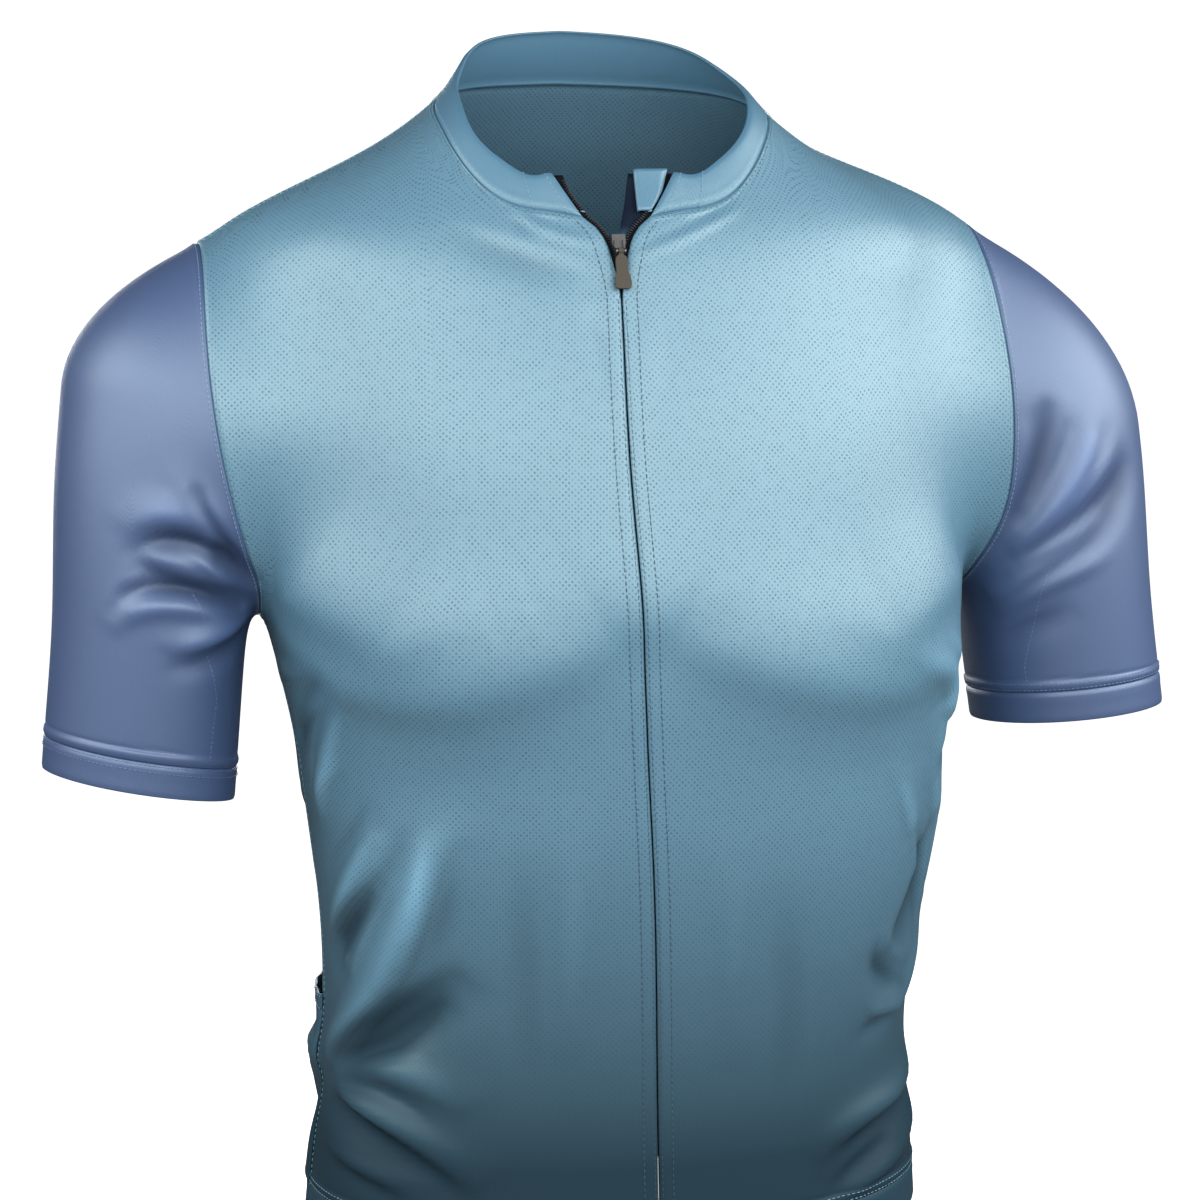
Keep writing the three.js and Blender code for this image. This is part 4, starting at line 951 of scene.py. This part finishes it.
def repeats(name, lines, material, spacing, length, width, high, uneven=0.08):
    """Stitches or coils along lines of points, made by the node group and kept as a mesh."""
    points = np.concatenate([line[0] for line in lines]) / 1000
    edges, done = [], 0
    for line, _ in lines:
        edges += [(k, k + 1) for k in range(done, done + len(line) - 1)]
        done += len(line)
    mesh = bpy.data.meshes.new(name)
    mesh.from_pydata(points.tolist(), edges, [])
    way = mesh.attributes.new("out", "FLOAT_VECTOR", "POINT")
    ways_out = np.concatenate([line[1] for line in lines]).astype(np.float32)
    way.data.foreach_set("vector", ways_out.ravel())
    obj = bpy.data.objects.new(name, mesh)
    bpy.context.scene.collection.objects.link(obj)
    modifier = obj.modifiers.new("Repeat", "NODES")
    modifier.node_group = repeat
    values = {"Spacing": spacing, "Length": length, "Width": width, "Height": high}
    for socket, value in values.items():
        modifier[SOCKETS[socket]] = value / 1000
    modifier[SOCKETS["Unevenness"]] = float(uneven)
    modifier[SOCKETS["Seed"]] = SEED
    modifier[SOCKETS["Material"]] = material
    graph = bpy.context.evaluated_depsgraph_get()
    solid = bpy.data.meshes.new_from_object(obj.evaluated_get(graph))
    obj.modifiers.remove(modifier)
    obj.data = solid
    solid.name = name
    solid.shade_smooth()
    OBJECTS[name] = obj
    print(name, "-", len(solid.polygons) // BALL_FACES, "repeats")


print("a repeat is a ball of", BALL_FACES, "faces, turned along its line")

# %% [markdown]
# ## Materials
#
# One group draws the knit's staggered pinholes on the flat cut, another its fine courses,
# and a third an uneven tone. All cloth shares them, with its own colours and sizes. The
# Crease attribute paints highlight on a knit's ridges and shade in its troughs, and the height
# on the object paints shade that deepens the knit towards the hem, where the light falls off.
# The pinholes take the same painted shade tone.

# %% Shader groups
def feed(tree, socket, source):
    """Links an input to another node's output, or sets it to a plain value."""
    if isinstance(source, bpy.types.NodeSocket):
        tree.links.new(source, socket)
    else:
        socket.default_value = source


def wire(tree, kind, links=None, **settings):
    node = tree.nodes.new(kind)
    for key, value in settings.items():
        setattr(node, key, value)
    for socket, source in (links or {}).items():
        feed(tree, node.inputs[socket], source)
    return node.outputs[0]


def ramp(tree, value, start, end, first, last, **settings):
    """Runs from first to last while the value goes from start to end."""
    return wire(tree, "ShaderNodeMapRange", {"Value": value, "From Min": start, "From Max": end,
                                             "To Min": first, "To Max": last}, **settings)


def math_(group, operation, a, b=0.0, c=0.0):
    return wire(group, "ShaderNodeMath", {0: a, 1: b, 2: c}, operation=operation)


def vector_(group, operation, a, b=None, scale=None):
    links = {0: a}
    if b is not None:
        links[1] = b
    if scale is not None:
        links["Scale"] = scale
    node = wire(group, "ShaderNodeVectorMath", links, operation=operation).node
    return node.outputs["Value"] if operation == "LENGTH" else node.outputs["Vector"]


pinholes, given, result = new_group(
    "Staggered pinholes", "ShaderNodeTree",
    [("Cut", "NodeSocketVector", None), ("Pitch", "NodeSocketFloat", 2.75),
     ("Hole radius", "NodeSocketFloat", 0.28), ("Softness", "NodeSocketFloat", 0.3)],
    [("Hole", "NodeSocketFloat")])
cells = vector_(pinholes, "SCALE", given.outputs["Cut"],
                scale=math_(pinholes, "DIVIDE", 1.0, given.outputs["Pitch"]))
reach_of = []
for shift in ((0, 0, 0), (0.5, 0.5, 0)):
    cell = vector_(pinholes, "FRACTION", vector_(pinholes, "ADD", cells, shift))
    middle = vector_(pinholes, "SUBTRACT", cell, (0.5, 0.5, 0))
    reach_of.append(vector_(pinholes, "LENGTH", vector_(pinholes, "MULTIPLY", middle, (1, 1, 0))))
near = math_(pinholes, "MULTIPLY", math_(pinholes, "MINIMUM", *reach_of), given.outputs["Pitch"])
far = math_(pinholes, "ADD", given.outputs["Hole radius"], given.outputs["Softness"])
hole = ramp(pinholes, near, given.outputs["Hole radius"], far, 1.0, 0.0,
            interpolation_type="SMOOTHSTEP")
open_ = wire(pinholes, "ShaderNodeTexNoise", {"Vector": given.outputs["Cut"], "Scale": 0.22,
                                              "Detail": 3.0})
share = ramp(pinholes, open_, 0.35, 0.65, 0.35, 1.0)
pinholes.links.new(math_(pinholes, "MULTIPLY", hole, share), result.inputs["Hole"])

courses, given, result = new_group(
    "Fine courses", "ShaderNodeTree",
    [("Cut", "NodeSocketVector", None), ("Wale", "NodeSocketFloat", 0.8)],
    [("Height", "NodeSocketFloat"), ("Streak", "NodeSocketFloat")])
scaled = vector_(courses, "MULTIPLY", given.outputs["Cut"], (1.0, 0.35, 0))
grain = wire(courses, "ShaderNodeTexNoise", {"Vector": scaled, "Scale": 1.1, "Detail": 3.0,
                                             "Roughness": 0.6})
across_cut = wire(courses, "ShaderNodeSeparateXYZ", {0: given.outputs["Cut"]}).node.outputs["X"]
turn_ = math_(courses, "DIVIDE", math_(courses, "MULTIPLY", across_cut, 2 * math.pi),
              given.outputs["Wale"])
wave = math_(courses, "MULTIPLY_ADD", math_(courses, "SINE", turn_), 0.5, 0.5)
raised = math_(courses, "MULTIPLY_ADD", wave, 0.35, math_(courses, "MULTIPLY", grain, 0.65))
courses.links.new(raised, result.inputs["Height"])
courses.links.new(grain, result.inputs["Streak"])

tone, given, result = new_group(
    "Uneven tone", "ShaderNodeTree",
    [("Position", "NodeSocketVector", None), ("Size", "NodeSocketFloat", 0.05)],
    [("Tone", "NodeSocketFloat")])
blotch = wire(tone, "ShaderNodeTexNoise", {
    "Vector": given.outputs["Position"], "Detail": 4.0, "Roughness": 0.55,
    "Scale": math_(tone, "DIVIDE", 1.0, given.outputs["Size"])})
tone.links.new(ramp(tone, blotch, 0.3, 0.7, 0.0, 1.0), result.inputs["Tone"])


def use(material, group, links):
    """A node in the material that holds one of the groups."""
    return wire(material.node_tree, "ShaderNodeGroup", links, node_tree=group).node


def mixed(tree, factor, a, b):
    return wire(tree, "ShaderNodeMix", {0: factor, 6: a, 7: b}, data_type="RGBA").node.outputs[2]


print("groups:", [group.name for group in (pinholes, courses, tone)])

# %% Cloth, tape, metal and thread
TROUGH_SHADE = (-4.5, -0.3, 0.72, 0.0)  # fold heights in mm, then the share of painted shade in troughs
RIDGE_HIGHLIGHT = (0.8, 6.0, 0.0, 0.55)  # and of painted highlight on ridges
HEM_SHADE_LOW, HEM_SHADE_HIGH = -0.47, -0.31  # heights in metres between which painted shade deepens the knit towards the hem
# Factors that make the painted shade tone from the dark colour and the painted highlight tone from the
# light one
SHADE_FACTOR, HIGHLIGHT_FACTOR = 0.19, 2.4


def opaque(*rgb):
    return (*rgb, 1)


def new_material(name):
    """A material with its tree, its surface and the places on the object."""
    material = bpy.data.materials.new(name)
    material.use_nodes = True
    tree = material.node_tree
    places_ = tree.nodes.new("ShaderNodeTexCoord").outputs["Object"]
    return material, tree, tree.nodes["Principled BSDF"], places_


def add_relief(tree, shader, height, strength, depth):
    bump = wire(tree, "ShaderNodeBump", {"Strength": strength, "Distance": depth, "Height": height})
    tree.links.new(bump, shader.inputs["Normal"])


def cloth_material(name, light, dark, gloss, roughness, shine, holes=0.0, fade=0.0, relief=0.35):
    """Dyed knit with a broad soft shine, painted highlight on ridges, painted shade in troughs and, by
    fade, towards the hem.
    """
    material, tree, shader, position = new_material(name)
    cut = wire(tree, "ShaderNodeUVMap", uv_map="Cut")
    # Tones for painted shade and painted highlight
    deep = opaque(*(x * SHADE_FACTOR for x in dark[:3]))
    highlight_tone = opaque(*(min(1.0, x * HIGHLIGHT_FACTOR) for x in light[:3]))
    knit = use(material, courses, {"Cut": cut})
    patches = use(material, tone, {"Position": position, "Size": 0.06}).outputs[0]
    share = math_(tree, "MULTIPLY_ADD", knit.outputs["Streak"], 0.5,
                  math_(tree, "MULTIPLY", patches, 0.3))
    # Painted shade in fold troughs and painted highlight on ridges, read from the Crease attribute
    crease = wire(tree, "ShaderNodeAttribute", attribute_name="Crease").node.outputs["Fac"]
    shade_in_trough = ramp(tree, crease, *TROUGH_SHADE)
    highlight_on_ridge = ramp(tree, crease, *RIDGE_HIGHLIGHT)
    colour = mixed(tree, shade_in_trough, mixed(tree, share, dark, light), deep)
    colour = mixed(tree, highlight_on_ridge, colour, highlight_tone)
    # Painted shade towards the hem, where the light falls off: deeper colour and less shine
    up = wire(tree, "ShaderNodeSeparateXYZ", {"Vector": position}).node.outputs["Z"]
    low = ramp(tree, up, HEM_SHADE_LOW, HEM_SHADE_HIGH, fade, 0.0)
    colour = mixed(tree, low, colour, deep)
    level = math_(tree, "MULTIPLY_ADD", low, -shine, shine)
    level = math_(tree, "MULTIPLY", level, math_(tree, "SUBTRACT", 1.0, shade_in_trough))
    height = knit.outputs["Height"]
    if holes:
        # Pinholes take the deep painted shade tone, the shade seen through them
        net = use(material, pinholes, {"Cut": cut}).outputs[0]
        hole = math_(tree, "MULTIPLY", net, math_(tree, "MULTIPLY_ADD", low, -holes, holes))
        colour = mixed(tree, hole, colour, deep)
        level = math_(tree, "MULTIPLY", level, math_(tree, "SUBTRACT", 1.0, hole))
        height = math_(tree, "SUBTRACT", math_(tree, "MULTIPLY", height, 0.5), hole)
    add_relief(tree, shader, height, relief, 0.0003)
    tree.links.new(colour, shader.inputs["Base Color"])
    tree.links.new(level, shader.inputs["Specular IOR Level"])
    shader.inputs["IOR"].default_value = 1.9
    shader.inputs["Specular Tint"].default_value = gloss
    shader.inputs["Roughness"].default_value = roughness
    return material


def plain_material(name, colour, roughness, metallic=0.0, relief=0.0, shine=0.5):
    """Metal, rubber, coil or thread, with a fine uneven grain."""
    material, tree, shader, position = new_material(name)
    speck = wire(tree, "ShaderNodeTexNoise", {"Vector": position, "Scale": 900.0, "Detail": 2.0})
    darker = opaque(*(x * 0.8 for x in colour[:3]))
    tree.links.new(mixed(tree, speck, darker, colour), shader.inputs["Base Color"])
    shader.inputs["Roughness"].default_value = roughness
    shader.inputs["Metallic"].default_value = metallic
    shader.inputs["Specular IOR Level"].default_value = shine
    if relief:
        add_relief(tree, shader, speck, relief, 0.0002)
    return material


PALE_GLOSS, SLEEVE_GLOSS = opaque(0.81, 1, 0.94), opaque(0.72, 0.86, 1)
# fade sets how much painted shade deepens these knits towards the hem
MESH = cloth_material("Pinhole knit", opaque(0.102, 0.217, 0.302), opaque(0.080, 0.174, 0.248),
                      PALE_GLOSS, 0.43, 0.46, holes=0.6, fade=0.95)
SMOOTH = cloth_material("Smooth knit", opaque(0.070, 0.172, 0.262), opaque(0.058, 0.144, 0.222),
                        PALE_GLOSS, 0.46, 0.45, fade=0.8)
SLEEVE = cloth_material("Sleeve knit", opaque(0.052, 0.086, 0.185), opaque(0.042, 0.070, 0.156),
                        SLEEVE_GLOSS, 0.48, 0.52, relief=0.2)
# The guard's near-black navy is painted shade, where it stands behind the flap over the zip's top
SHADED_GUARD = cloth_material("Guard knit", opaque(0.0022, 0.006, 0.02), opaque(0.0014, 0.004, 0.013),
                       PALE_GLOSS, 0.6, 0.07)
TAPE = cloth_material("Zip tape", opaque(0.003, 0.0034, 0.006), opaque(0.002, 0.0022, 0.004),
                      PALE_GLOSS, 0.7, 0.05)
COIL = plain_material("Zip coil", opaque(0.010, 0.011, 0.014), 0.35)
METAL = plain_material("Dark metal", opaque(0.15, 0.15, 0.15), 0.34, 0.9, relief=0.15)
RUBBER = plain_material("Taupe rubber", opaque(0.062, 0.056, 0.044), 0.65, relief=0.3, shine=0.2)
THREAD = plain_material("Thread", opaque(0.16, 0.30, 0.38), 0.5)
DARK_THREAD = plain_material("Zip thread", opaque(0.03, 0.075, 0.12), 0.6)
SLEEVE_THREAD = plain_material("Sleeve thread", opaque(0.12, 0.19, 0.36), 0.5)
print("knits, tape, coil, metal, rubber and threads:", len(bpy.data.materials), "materials")

# %% The guard's lit foot under its painted shade
# Below the painted shade, the guard's foot takes a lighter teal, where the light reaches it
FOOT_LOW, FOOT_HIGH, LIT_FOOT_TONE = -0.0535, -0.0475, opaque(0.022, 0.066, 0.1)
tree = SHADED_GUARD.node_tree
guard_places = tree.nodes.new("ShaderNodeTexCoord").outputs["Object"]
up = wire(tree, "ShaderNodeSeparateXYZ", {"Vector": guard_places}).node.outputs["Z"]
base = tree.nodes["Principled BSDF"].inputs["Base Color"]
shaded_navy = base.links[0].from_socket
tree.links.new(mixed(tree, ramp(tree, up, FOOT_LOW, FOOT_HIGH, 1.0, 0.0), shaded_navy, LIT_FOOT_TONE), base)
print("materials:", [material.name for material in bpy.data.materials])

# %% [markdown]
# ## Sewing
#
# Two rows of topstitching run beside the zip. A coverstitch follows the collar, the hem and
# the cuffs, and flat seams join sleeves, sides and shoulders.

# %% Stitches and coil beside the opening
STITCH = dict(spacing=2.9, length=2.3, width=0.55, high=0.4)
EDGE_STITCH = dict(spacing=2.9, length=2.2, width=0.4, high=0.3)
FLAT_STITCH = dict(spacing=2.4, length=1.9, width=0.5, high=0.35)
FINE_STITCH = dict(spacing=2.2, length=1.8, width=0.45, high=0.3)
COIL_FOOT = -497


def front_line(side, off, low, high, level, count=200):
    """A line beside the opening, at a distance from its edge and a level over the cloth."""
    z = np.linspace(low, high, count)
    base = on_front(zip_x(z) + side * (opening_half(z) + off), z)
    normal = normal_at(base)
    return base + normal * (fold_height(base) + level)[:, None], normal


repeats("stitch_zip", [front_line(side, 6.3, COIL_FOOT, -46, 0.08, 400) for side, _ in SIDES],
        DARK_THREAD, **STITCH)
repeats("stitch_zip_edge", [front_line(side, 1.3, COIL_FOOT, -80, 0.0, 300) for side, _ in SIDES],
        DARK_THREAD, **EDGE_STITCH)
repeats("zip_coil_open", [front_line(side, -2.6, -77, -27, -2.0, 120) for side, _ in SIDES], COIL,
        spacing=1.25, length=0.85, width=2.3, high=1.0, uneven=0.02)
repeats("zip_coil_closed", [front_line(1, -0.6, COIL_FOOT, -79, -2.1, 300)], COIL,
        spacing=1.25, length=0.8, width=2.6, high=1.0, uneven=0.02)


# %% Stitches beside the seams
def both(run, offs, dip=0.0):
    return [beside(run, off, dip) for off in offs]


repeats("stitch_collar", both(collar_run, (-1.9, 1.9), 0.4), THREAD, **STITCH)
for side, word in SIDES:
    s = SEAMS[side]
    repeats(f"stitch_armhole_{word}", both(ARMHOLES[side], (-1.7, 1.7), 0.1), THREAD, **FLAT_STITCH)
    repeats(f"stitch_side_{word}", both(s["side"], (1.8,), 0.1), THREAD, **STITCH)
    repeats(f"stitch_shoulder_{word}", both(s["shoulder"], (-1.8, 1.8), 0.1), THREAD, **STITCH)
for side, word in SIDES:
    down_arm = np.linspace(90, ARMS[side]["cuff_inner"] - CUFF_DEEP - 2, 240)
    under_turn = np.interp(down_arm, (90, 112, 137, 182), (-17, -27, -37, -36))
    under = on_arm(side, under_turn, down_arm)
    repeats(f"stitch_under_{word}", both(under, (1.0,), 0.1), SLEEVE_THREAD, **FINE_STITCH)
for side, word in SIDES:
    repeats(f"stitch_cuff_{word}", both(CUFF_SEAMS[side], (-1.0, -4.0), 0.5), SLEEVE_THREAD,
            **FINE_STITCH)
hem_lines = both(SEAMS[-1]["hem"], (1.0, 4.0), 0.5) + both(SEAMS[1]["hem"], (-1.0, -4.0), 0.5)
repeats("stitch_hem", hem_lines + both(hem_back, (1.0, 4.0), 0.5), THREAD, **STITCH)

# %% Rows on the pockets and at the collar's ends
normals = normal_at(pocket)
pocket_face = pocket + normals * (fold_height(pocket) + pocket_lift)[..., None]
rows = []
for drop in (1.2, ELASTIC - 1.0):
    j = int(np.argmin(np.abs(down - drop)))
    rows.append((pocket_face[j] + normals[j] * 0.25, normals[j]))
for third in DIVIDERS.ravel():
    i = int(np.argmin(np.abs(u - third)))
    rows.append((pocket_face[:, i] + normals[:, i] * 0.5, normals[:, i]))
repeats("stitch_pockets", rows, THREAD, **STITCH)
rows = []
for i in (4, 9, -5, -10):
    normal = normal_at(collar[:, i])
    height = fold_height(collar[:, i]) + roll[:, 0] + 0.2
    rows.append(((collar[:, i] + normal * height[:, None])[1:-1], normal[1:-1]))
repeats("stitch_collar_ends", rows, THREAD, **FLAT_STITCH)

# %% [markdown]
# ## Dressing the frame
#
# Each cloth piece takes its material, rides on its body, stands for its CAD solid and says
# what flat size it was cut to.

# %% Materials, bodies, replaced solids and cuts
CLOTHS = {
    "cloth_front_left": (MESH, "mesh_knit", "front_left"),
    "cloth_front_right": (MESH, "mesh_knit", "front_right"),
    "cloth_back": (MESH, "mesh_knit", "back"),
    "cloth_pockets": (MESH, "mesh_knit", "pocket_panel"),
    "band_hem_left": (SMOOTH, "smooth_knit", "hem_left"),
    "band_hem_right": (SMOOTH, "smooth_knit", "hem_right"),
    "band_hem_back": (SMOOTH, "smooth_knit", "hem_back"),
    "cloth_sleeve_left": (SLEEVE, "sleeve_knit", "sleeve_left"),
    "cloth_sleeve_right": (SLEEVE, "sleeve_knit", "sleeve_right"),
    "band_cuff_left": (SLEEVE, "sleeve_knit", "cuff_left"),
    "band_cuff_right": (SLEEVE, "sleeve_knit", "cuff_right"),
    "cloth_collar": (SMOOTH, "smooth_knit", "collar"),
    "tape_left": (TAPE, "zip_tape", "zip_tape_left"),
    "tape_right": (TAPE, "zip_tape", "zip_tape_right"),
    "zip_guard_cloth": (SHADED_GUARD, "guard_knit", "zip_guard"),
    "zip_garage_cloth": (SMOOTH, "smooth_knit", "zip_garage"),
}
for name, (material, slot, node) in CLOTHS.items():
    obj = OBJECTS[name]
    obj.data.materials.append(material)
    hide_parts(node)
    wide_, long_ = (x / 1000 for x in obj["flat_mm"])
    print(f"{name}: cut {wide_ * 1000:.0f} x {long_ * 1000:.0f} mm, {obj['area_mm2'] / 1e6:.4f} m2")
for obj in OBJECTS.values():
    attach(obj, "jersey")
for node, material in (("zip_slider", METAL), ("zip_pull", RUBBER)):
    obj = frame["nodes"][node]
    obj.data.materials.clear()
    obj.data.materials.append(material)

# %% [markdown]
# ## Stage, light and camera
#
# A pale floor and four broad soft lights: one in front and one on each side, which look a
# little down at the chest, and one behind. The knit is dark in itself and shines where it
# mirrors these lights. The camera stands where the photograph was taken from.

# %% Floor and lights
FLOOR = bpy.data.materials.new("Pale floor")
FLOOR.use_nodes = True
tree = FLOOR.node_tree
surface = tree.nodes["Principled BSDF"]
surface.inputs["Roughness"].default_value = 0.9
surface.inputs["Specular IOR Level"].default_value = 0.0
surface.inputs["Emission Color"].default_value = opaque(1, 1, 1)
seen = tree.nodes.new("ShaderNodeLightPath").outputs["Is Camera Ray"]
tree.links.new(mixed(tree, seen, opaque(0.15, 0.15, 0.15), opaque(0.85, 0.85, 0.85)),
               surface.inputs["Base Color"])
tree.links.new(math_(tree, "MULTIPLY", seen, 1.05), surface.inputs["Emission Strength"])
WIDE, DOWN = 60, -0.9
ground = bpy.data.meshes.new("floor")
ground.from_pydata([(x * WIDE, y * WIDE, DOWN) for x, y in ((-1, -1), (1, -1), (1, 1), (-1, 1))],
                   [], [(0, 1, 2, 3)])
ground.materials.append(FLOOR)
floor = bpy.data.objects.new("floor", ground)
bpy.context.scene.collection.objects.link(floor)


CHEST_MIDDLE = (0.0, -0.08, -0.16)


def soft_light(name, azimuth, elevation, away, size, power):
    """A rectangular light that looks at the chest from an angle round it and above it."""
    data = bpy.data.lights.new(name, "AREA")
    data.shape, data.size, data.size_y, data.energy = "RECTANGLE", *size, power
    obj = bpy.data.objects.new(name, data)
    bpy.context.scene.collection.objects.link(obj)
    a, e = math.radians(azimuth), math.radians(elevation)
    way = (math.sin(a) * math.cos(e), -math.cos(a) * math.cos(e), math.sin(e))
    obj.location = [c + away * d for c, d in zip(CHEST_MIDDLE, way)]
    obj.rotation_euler = (math.pi / 2 - e, 0, a)
    print(name, "light:", power, "W,", azimuth, "degrees round")


soft_light("front", -4, 20, 1.1, (1.27, 0.67), 12.4)
soft_light("left", -70, 22, 1.1, (1.6, 0.7), 15.5)
soft_light("right", 65, 22, 1.1, (1.6, 0.7), 20)
soft_light("behind", 180, 2, 1.8, (1.4, 0.6), 14)

world = bpy.data.worlds.new("White room")
bpy.context.scene.world = world
world.use_nodes = True
tree = world.node_tree
tree.nodes.clear()
seen, lit = tree.nodes.new("ShaderNodeBackground"), tree.nodes.new("ShaderNodeBackground")
seen.inputs["Strength"].default_value, lit.inputs["Strength"].default_value = 1.1, 0.06
seen.inputs["Color"].default_value = opaque(1, 1, 1)
lit.inputs["Color"].default_value = opaque(0.93, 0.97, 1)
ray, blend, output = (tree.nodes.new(kind) for kind in (
    "ShaderNodeLightPath", "ShaderNodeMixShader", "ShaderNodeOutputWorld"))
tree.links.new(ray.outputs["Is Camera Ray"], blend.inputs[0])
tree.links.new(lit.outputs[0], blend.inputs[1])
tree.links.new(seen.outputs[0], blend.inputs[2])
tree.links.new(blend.outputs[0], output.inputs["Surface"])
bpy.context.scene.view_settings.view_transform = "Standard"

# %% Camera
AZIMUTH, PITCH, AWAY, HEIGHT, YAW, FOCAL = -12.0, 9.1, 1.45, 0.006, -0.1, 3100 / 1200
swing, down_, turn_ = math.radians(AZIMUTH), math.radians(PITCH), math.radians(AZIMUTH + YAW)
lens = bpy.data.cameras.new("camera")
lens.sensor_fit, lens.sensor_width, lens.lens = "HORIZONTAL", 36, FOCAL * 36
camera = bpy.data.objects.new("camera", lens)
bpy.context.scene.collection.objects.link(camera)
camera.location = (math.sin(swing) * AWAY, -math.cos(swing) * AWAY, HEIGHT)
camera.rotation_euler = (math.pi / 2 - down_, 0, turn_)
bpy.context.scene.camera = camera
print("camera:", [round(x, 3) for x in camera.location], "lens", round(lens.lens, 1), "mm")
